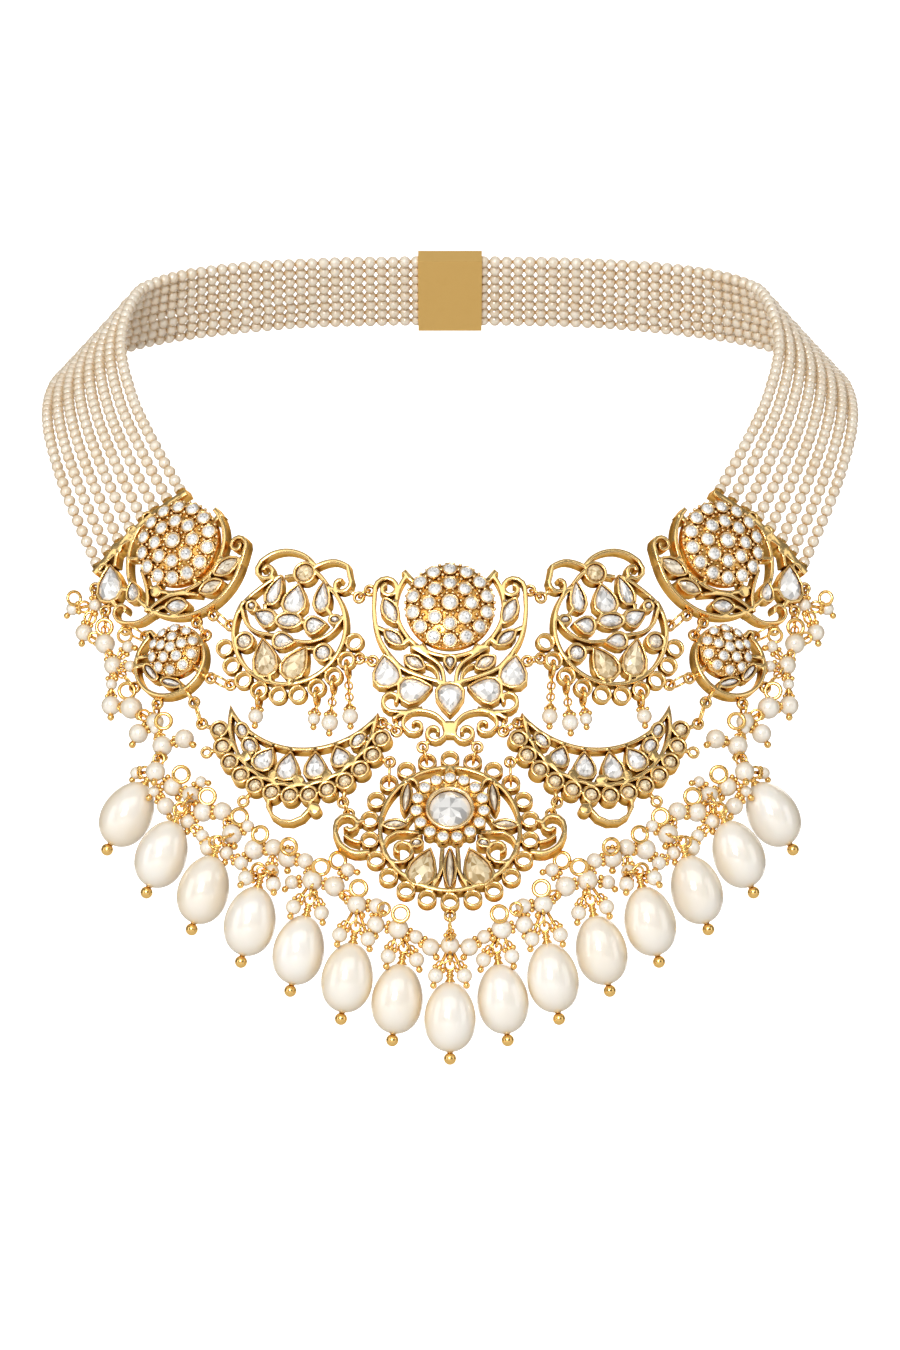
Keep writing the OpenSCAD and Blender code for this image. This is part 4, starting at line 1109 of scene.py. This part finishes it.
nets = {
    # across, up, radius and, for one that lies in front, how far
    "side": [(-79.6, -44.8, 1.5), (-84.9, -45.6, 1.5), (-82.1, -51.0, 2.0), (-77.2, -53.5, 2.3),
             (-75.2, -58.4, 2.1), (-71.9, -54.2, 1.4), (-71.2, -58.6, 1.4), (-75.5, -62.6, 1.3),
             (-75.5, -67.3, 2.2), (-70.8, -67.8, 2.5), (-65.4, -70.9, 2.0), (-69.1, -73.5, 2.2),
             (-65.1, -72.4, 1.4), (-63.6, -76.2, 2.3), (-58.7, -74.6, 2.2), (-64.9, -81.8, 2.2, 3.9),
             (-69.4, -82.2, 1.4), (-61.1, -85.1, 2.2), (-57.0, -86.9, 2.0), (-65.2, -86.2, 1.3, 2),
             (-54.8, -84.0, 1.3), (-62.6, -89.4, 2.0), (-57.6, -92.7, 1.8), (-54.2, -90.6, 2.2),
             (-49.9, -90.4, 2.1), (-54.3, -95.8, 1.5), (-47.7, -95.4, 2.3), (-52.9, -98.4, 1.9),
             (-44.2, -93.6, 1.4), (-48.9, -99.5, 1.6), (-45.6, -101.6, 1.6), (-42.7, -98.6, 2.3),
             (-38.5, -98.2, 2.0), (-38.9, -103.4, 1.7)],
    "inner": [(-35.4, -100.4, 2.2), (-31.5, -101.0, 1.8), (-29.9, -105.2, 2.3), (-34.4, -105.6, 1.6),
              (-25.1, -106.4, 2.3), (-22.2, -102.9, 1.6), (-20.2, -110.3, 2.2),
              (-15.9, -110.6, 1.8), (-16.1, -114.6, 2.0), (-11.2, -115.5, 2.3), (-7.4, -117.2, 1.6),
              (-4.2, -119.4, 2.0)],
    "middle": (0, -119.0, 2.1),
    # open jump rings in front of the net: across, up, radius
    "sideRings": [(-84.5, -43.3, 1.5), (-77.4, -48.8, 1.75), (-72.8, -51.0, 1.5), (-71.9, -63.8, 1.75),
                  (-62.7, -70.0, 1.75), (-59.0, -82.1, 1.75), (-53.2, -86.9, 1.75), (-59.0, -90.6, 1.5),
                  (-46.6, -90.9, 1.75), (-41.6, -95.7, 1.75), (-51.5, -97.2, 1.3), (-41.8, -103.0, 1.5)],
    "innerRings": [(-35.2, -99.0, 1.75), (-28.2, -102.5, 1.75), (-25.5, -99.7, 1.75), (-19.8, -106.7, 1.75),
                   (-14.3, -111.1, 1.3), (-10.6, -111.6, 1.75)],
    # pearls under the lotus plaque: rim ring that carries it, across, up, radius
    "lotus": [(3, -42.8, -69.6, 1.7), (6, -29.9, -70.2, 1.4), (7, -26.4, -71.0, 1.9),
              (8, -21.9, -69.6, 1.8)],
    # eyelets that carry the side net: plaque, across, up, pearl
    "eyelets": [("side", -23.0, -5.4, 0), ("side", -19.9, -11.0, 3), ("rosette", -9.0, -5.6, 4),
                ("rosette", -3.0, -10.0, 10)],
    "medallionEyelet": (0, -20.6),
    "rimRing": {"radius": 15.2, "first": 194, "step": 17},
    "behind": 1.2,  # how far behind the drops' surface the pearls lie
    "ringFront": 1.9,
    "hook": 1.35,
    "rimHook": 1.9,
    "sideDrops": (4, 8),  # the drops that the side net carries, counted from the middle
    "innerDrops": (1, 4),
    "eyeletHeight": 1.4,
}
fittings = {
    "wire": 0.38,
    "grain": 0.5,
    "footWay": (0, -0.35, -0.9),  # pulls a pearl's end ball down and forwards
    "ball": (0.72, 0.1, 1.3),  # on a pearl of the last radius, and how much it grows with the pearl
    "ballOut": 0.75,
    "capIn": 0.08,
    "footCap": 0.75,
    "topCap": 1.05,
    "crown": {"out": 0.3, "droop": 0.25, "apart": 0.95, "front": -0.35, "vary": 0.35},
    "ring": {"sway": 0.35, "off": 0.8},  # how a loose ring turns, and its middle's distance from its pearl
    "link": {"pitch": 1.35, "radius": 0.85, "long": 1.15, "wire": 0.6, "lead": (0.2, -1, 0.1)},
    "tie": {"least": 0.8, "small": 0.75, "large": 1.25, "sway": 0.4, "inset": 0.1, "front": -0.4},
    "flank": {"drops": 5, "radius": 1.7, "out": 3.1, "low": 2.4, "front": 1.0, "ring": 0.95, "ringAt": 2.5,
              "ringLean": 0.3, "grainAt": 1.7, "grainFront": -0.5},
    "dropTop": (0.5, 2.5),  # where above a drop's loop a hook takes it, and where its pearl is looked for
}
netFinishes = {"pearl": "netPearl", "ball": "brightGold", "cap": "darkGold", "ring": "brightGold",
               "wire": "darkGold", "grain": "brightGold"}


def netPoint(row):
    forward = row[3] if len(row) > 3 else 0
    return Vector((row[0], skinY(row[0], row[1]) + nets["behind"] - forward, row[1]))


class Net:
    # Everything of one net, gathered as places for each small shape
    def __init__(self):
        self.places = {shape: [] for shape in netFinishes}
        self.pick = random.Random("net")

    def put(self, shape, way, at, size, lead=(0, 1, 0)):
        self.places[shape].append(turned(way, at, size, lead))

    def wire(self, a, way, thick=fittings["wire"]):
        self.put("wire", way, a, (thick, thick, way.length))

    def sway(self, most):
        return Vector((self.pick.uniform(-most, most), -1, self.pick.uniform(-most, most)))

    def pearl(self, p, r, toward=(0, 0, 1)):
        self.put("pearl", toward, p, r)
        way = Vector(toward).normalized()
        foot = (Vector(fittings["footWay"]) - way).normalized()
        least, growth, base = fittings["ball"]
        ball = least + growth * (r - base)
        self.put("ball", foot, p + foot * (r + ball * fittings["ballOut"]), ball)
        self.put("cap", foot, p + foot * (r - fittings["capIn"]), fittings["footCap"])
        self.put("cap", toward, p + way * (r - fittings["capIn"]), fittings["topCap"])
        self.crown(p, r, way)

    def crown(self, p, r, way):
        # Three grains side by side where the wire leaves a pearl
        crown = fittings["crown"]
        across = way.cross(Vector((0, 1, 0)))
        across = across.normalized() if across.length > 0.1 else Vector((1, 0, 0))
        for s in (-1, 0, 1):
            at = p + way * (r + crown["out"] - crown["droop"] * abs(s)) + across * s * crown["apart"]
            at.y += crown["front"]
            self.put("grain", way, at, fittings["grain"] * (1 + self.pick.uniform(0, crown["vary"])))

    def ringRow(self, rows, netPearls):
        # Each ring leans on the pearl nearest to it
        for x, z, r in rows:
            aim = Vector((x, skinY(x, z) + nets["behind"] - nets["ringFront"], z))
            row = min(netPearls, key=lambda one: (netPoint(one) - aim).length)
            way = (aim - netPoint(row)).normalized()
            self.put("ring", self.sway(fittings["ring"]["sway"]),
                     netPoint(row) + way * (row[2] + fittings["ring"]["off"] * r), r)

    def chain(self, a, b):
        # Small links in a row, each turned a quarter against the last
        way, link = b - a, fittings["link"]
        side = way.cross(Vector(link["lead"])).normalized()
        normals = (side, side.cross(way).normalized())
        count = max(round(way.length / link["pitch"]), 1)
        for k in range(count):
            self.put("ring", normals[k % 2], a + way * (k + 0.5) / count,
                     (link["radius"], link["radius"] * link["long"], 1), way)
        self.wire(a, way, fittings["wire"] * link["wire"])

    def tie(self, p, rp, q, rq):
        # Wire between two pearls with a jump ring and a few grains on it
        tie = fittings["tie"]
        way, along = q - p, (q - p).normalized()
        gap = way.length - rp - rq
        self.wire(p, way)
        if gap > tie["least"]:
            middle = p + along * (rp + gap / 2)
            self.put("ring", self.sway(tie["sway"]), middle, min(max(gap / 2, tie["small"]), tie["large"]))
            for s in (-1, 1):
                at = middle + along * s * (gap / 2 - tie["inset"]) + Vector((0, tie["front"], 0))
                self.put("grain", way, at, fittings["grain"])

    def hook(self, a, b, normal, r):
        # Ring through the hole at a, edge-on to the metal there, with a chain on to b
        normal = normal.normalized()
        way = ((b - a) - normal * (b - a).dot(normal)).normalized()
        self.put("ring", normal.cross(way), a + way * r, r)
        end = a + way * 2 * r
        self.chain(end, b)
        self.put("grain", way, end, fittings["grain"])

    def dropHook(self, i, rows):
        local, flank = dropMatrix(i), fittings["flank"]
        hold, look = fittings["dropTop"]
        axis = local.to_3x3() @ Vector((0, 0, 1))
        loop = local @ Vector((0, 0, drops["length"] / 2 + drops["neck"] + drops["loop"] + hold))
        target = loop + Vector((0, 0, look))
        top = min((netPoint(row) for row in rows), key=lambda p: (p - target).length)
        self.hook(loop, top, Vector((0, 1, 0)), nets["hook"])
        if i >= flank["drops"]:
            return
        across = Vector((axis.z, 0, -axis.x))
        for s in (-1, 1):
            p = loop + across * s * flank["out"] - axis * flank["low"] - Vector((0, flank["front"], 0))
            way = (top - p).normalized()
            self.pearl(p, flank["radius"], top - p)
            self.wire(p, top - p)
            self.put("ring", (flank["ringLean"] * s, -1, 0), p + way * flank["ringAt"], flank["ring"])
            self.put("grain", axis, p + way * flank["grainAt"] + Vector((0, flank["grainFront"], 0)),
                     fittings["grain"])

    def string(self, rows):
        # Each pearl is tied to the nearest one before it
        points = [netPoint(row) for row in rows]
        self.pearl(points[0], rows[0][2])
        for i, p in enumerate(points[1:], 1):
            near = min(range(i), key=lambda k: (points[k] - p).length)
            self.pearl(p, rows[i][2], points[near] - p)
            self.tie(p, rows[i][2], points[near], rows[near][2])

    def mirroredCopy(self):
        other = Net()
        for shape, places in self.places.items():
            other.places[shape] = [mirrorX @ m @ mirrorX for m in places]
        return other

    def build(self, name):
        places = {shape: [toMetres @ m for m in row] for shape, row in self.places.items()}
        settle(join(name + "_net", scatterAll(name, places, netFinishes)), "string_pearl", name)


def plaqueHole(seat, x, y):
    matrix = seatMatrix(seat)
    normal = matrix.to_3x3() @ Vector((0, 0, 1))
    return matrix @ Vector((x, y, nets["eyeletHeight"])), normal


def makeSideNet():
    net = Net()
    net.string(nets["side"])
    net.ringRow(nets["sideRings"], nets["side"])
    for seat, x, y, k in nets["eyelets"]:
        hole, normal = plaqueHole(seat, x, y)
        net.hook(hole, netPoint(nets["side"][k]), normal, nets["hook"])
    for i in range(*nets["sideDrops"]):
        net.dropHook(i, nets["side"])
    rim = nets["rimRing"]
    for k, x, z, r in nets["lotus"]:
        angle = math.radians(rim["first"] + rim["step"] * k)
        hole, normal = plaqueHole("lotus", rim["radius"] * math.cos(angle), rim["radius"] * math.sin(angle))
        p = netPoint((x, z))
        net.pearl(p, r, hole - p)
        net.hook(hole, p, normal, nets["rimHook"])
    return net


def makeCentreNet():
    middle, inner = nets["middle"], nets["inner"]
    half = Net()
    half.string(inner)
    half.ringRow(nets["innerRings"], inner)
    half.tie(netPoint(inner[-1]), inner[-1][2], netPoint(middle), middle[2])
    for i in range(*nets["innerDrops"]):
        half.dropHook(i, inner)
    other = half.mirroredCopy()
    net = Net()
    net.places = {shape: half.places[shape] + other.places[shape] for shape in netFinishes}
    net.pearl(netPoint(middle), middle[2])
    net.dropHook(0, [middle])
    hole, normal = plaqueHole("medallion", *nets["medallionEyelet"])
    net.hook(hole, netPoint(middle), normal, nets["hook"])
    return net


sideNet = makeSideNet()
sideNet.build("pearl_fringe_left")
sideNet.mirroredCopy().build("pearl_fringe_right")
makeCentreNet().build("pearl_fringe_centre")
print("fringes")


# Nodes that keep their own shape get their finish

for name, finish in (("link_rings", "brightGold"), ("clasp", "smoothGold")):
    nodes[name].data.materials.clear()
    nodes[name].data.materials.append(finishes[finish])
for shape in shapes.values():
    bpy.data.objects.remove(shape)

print("finish")
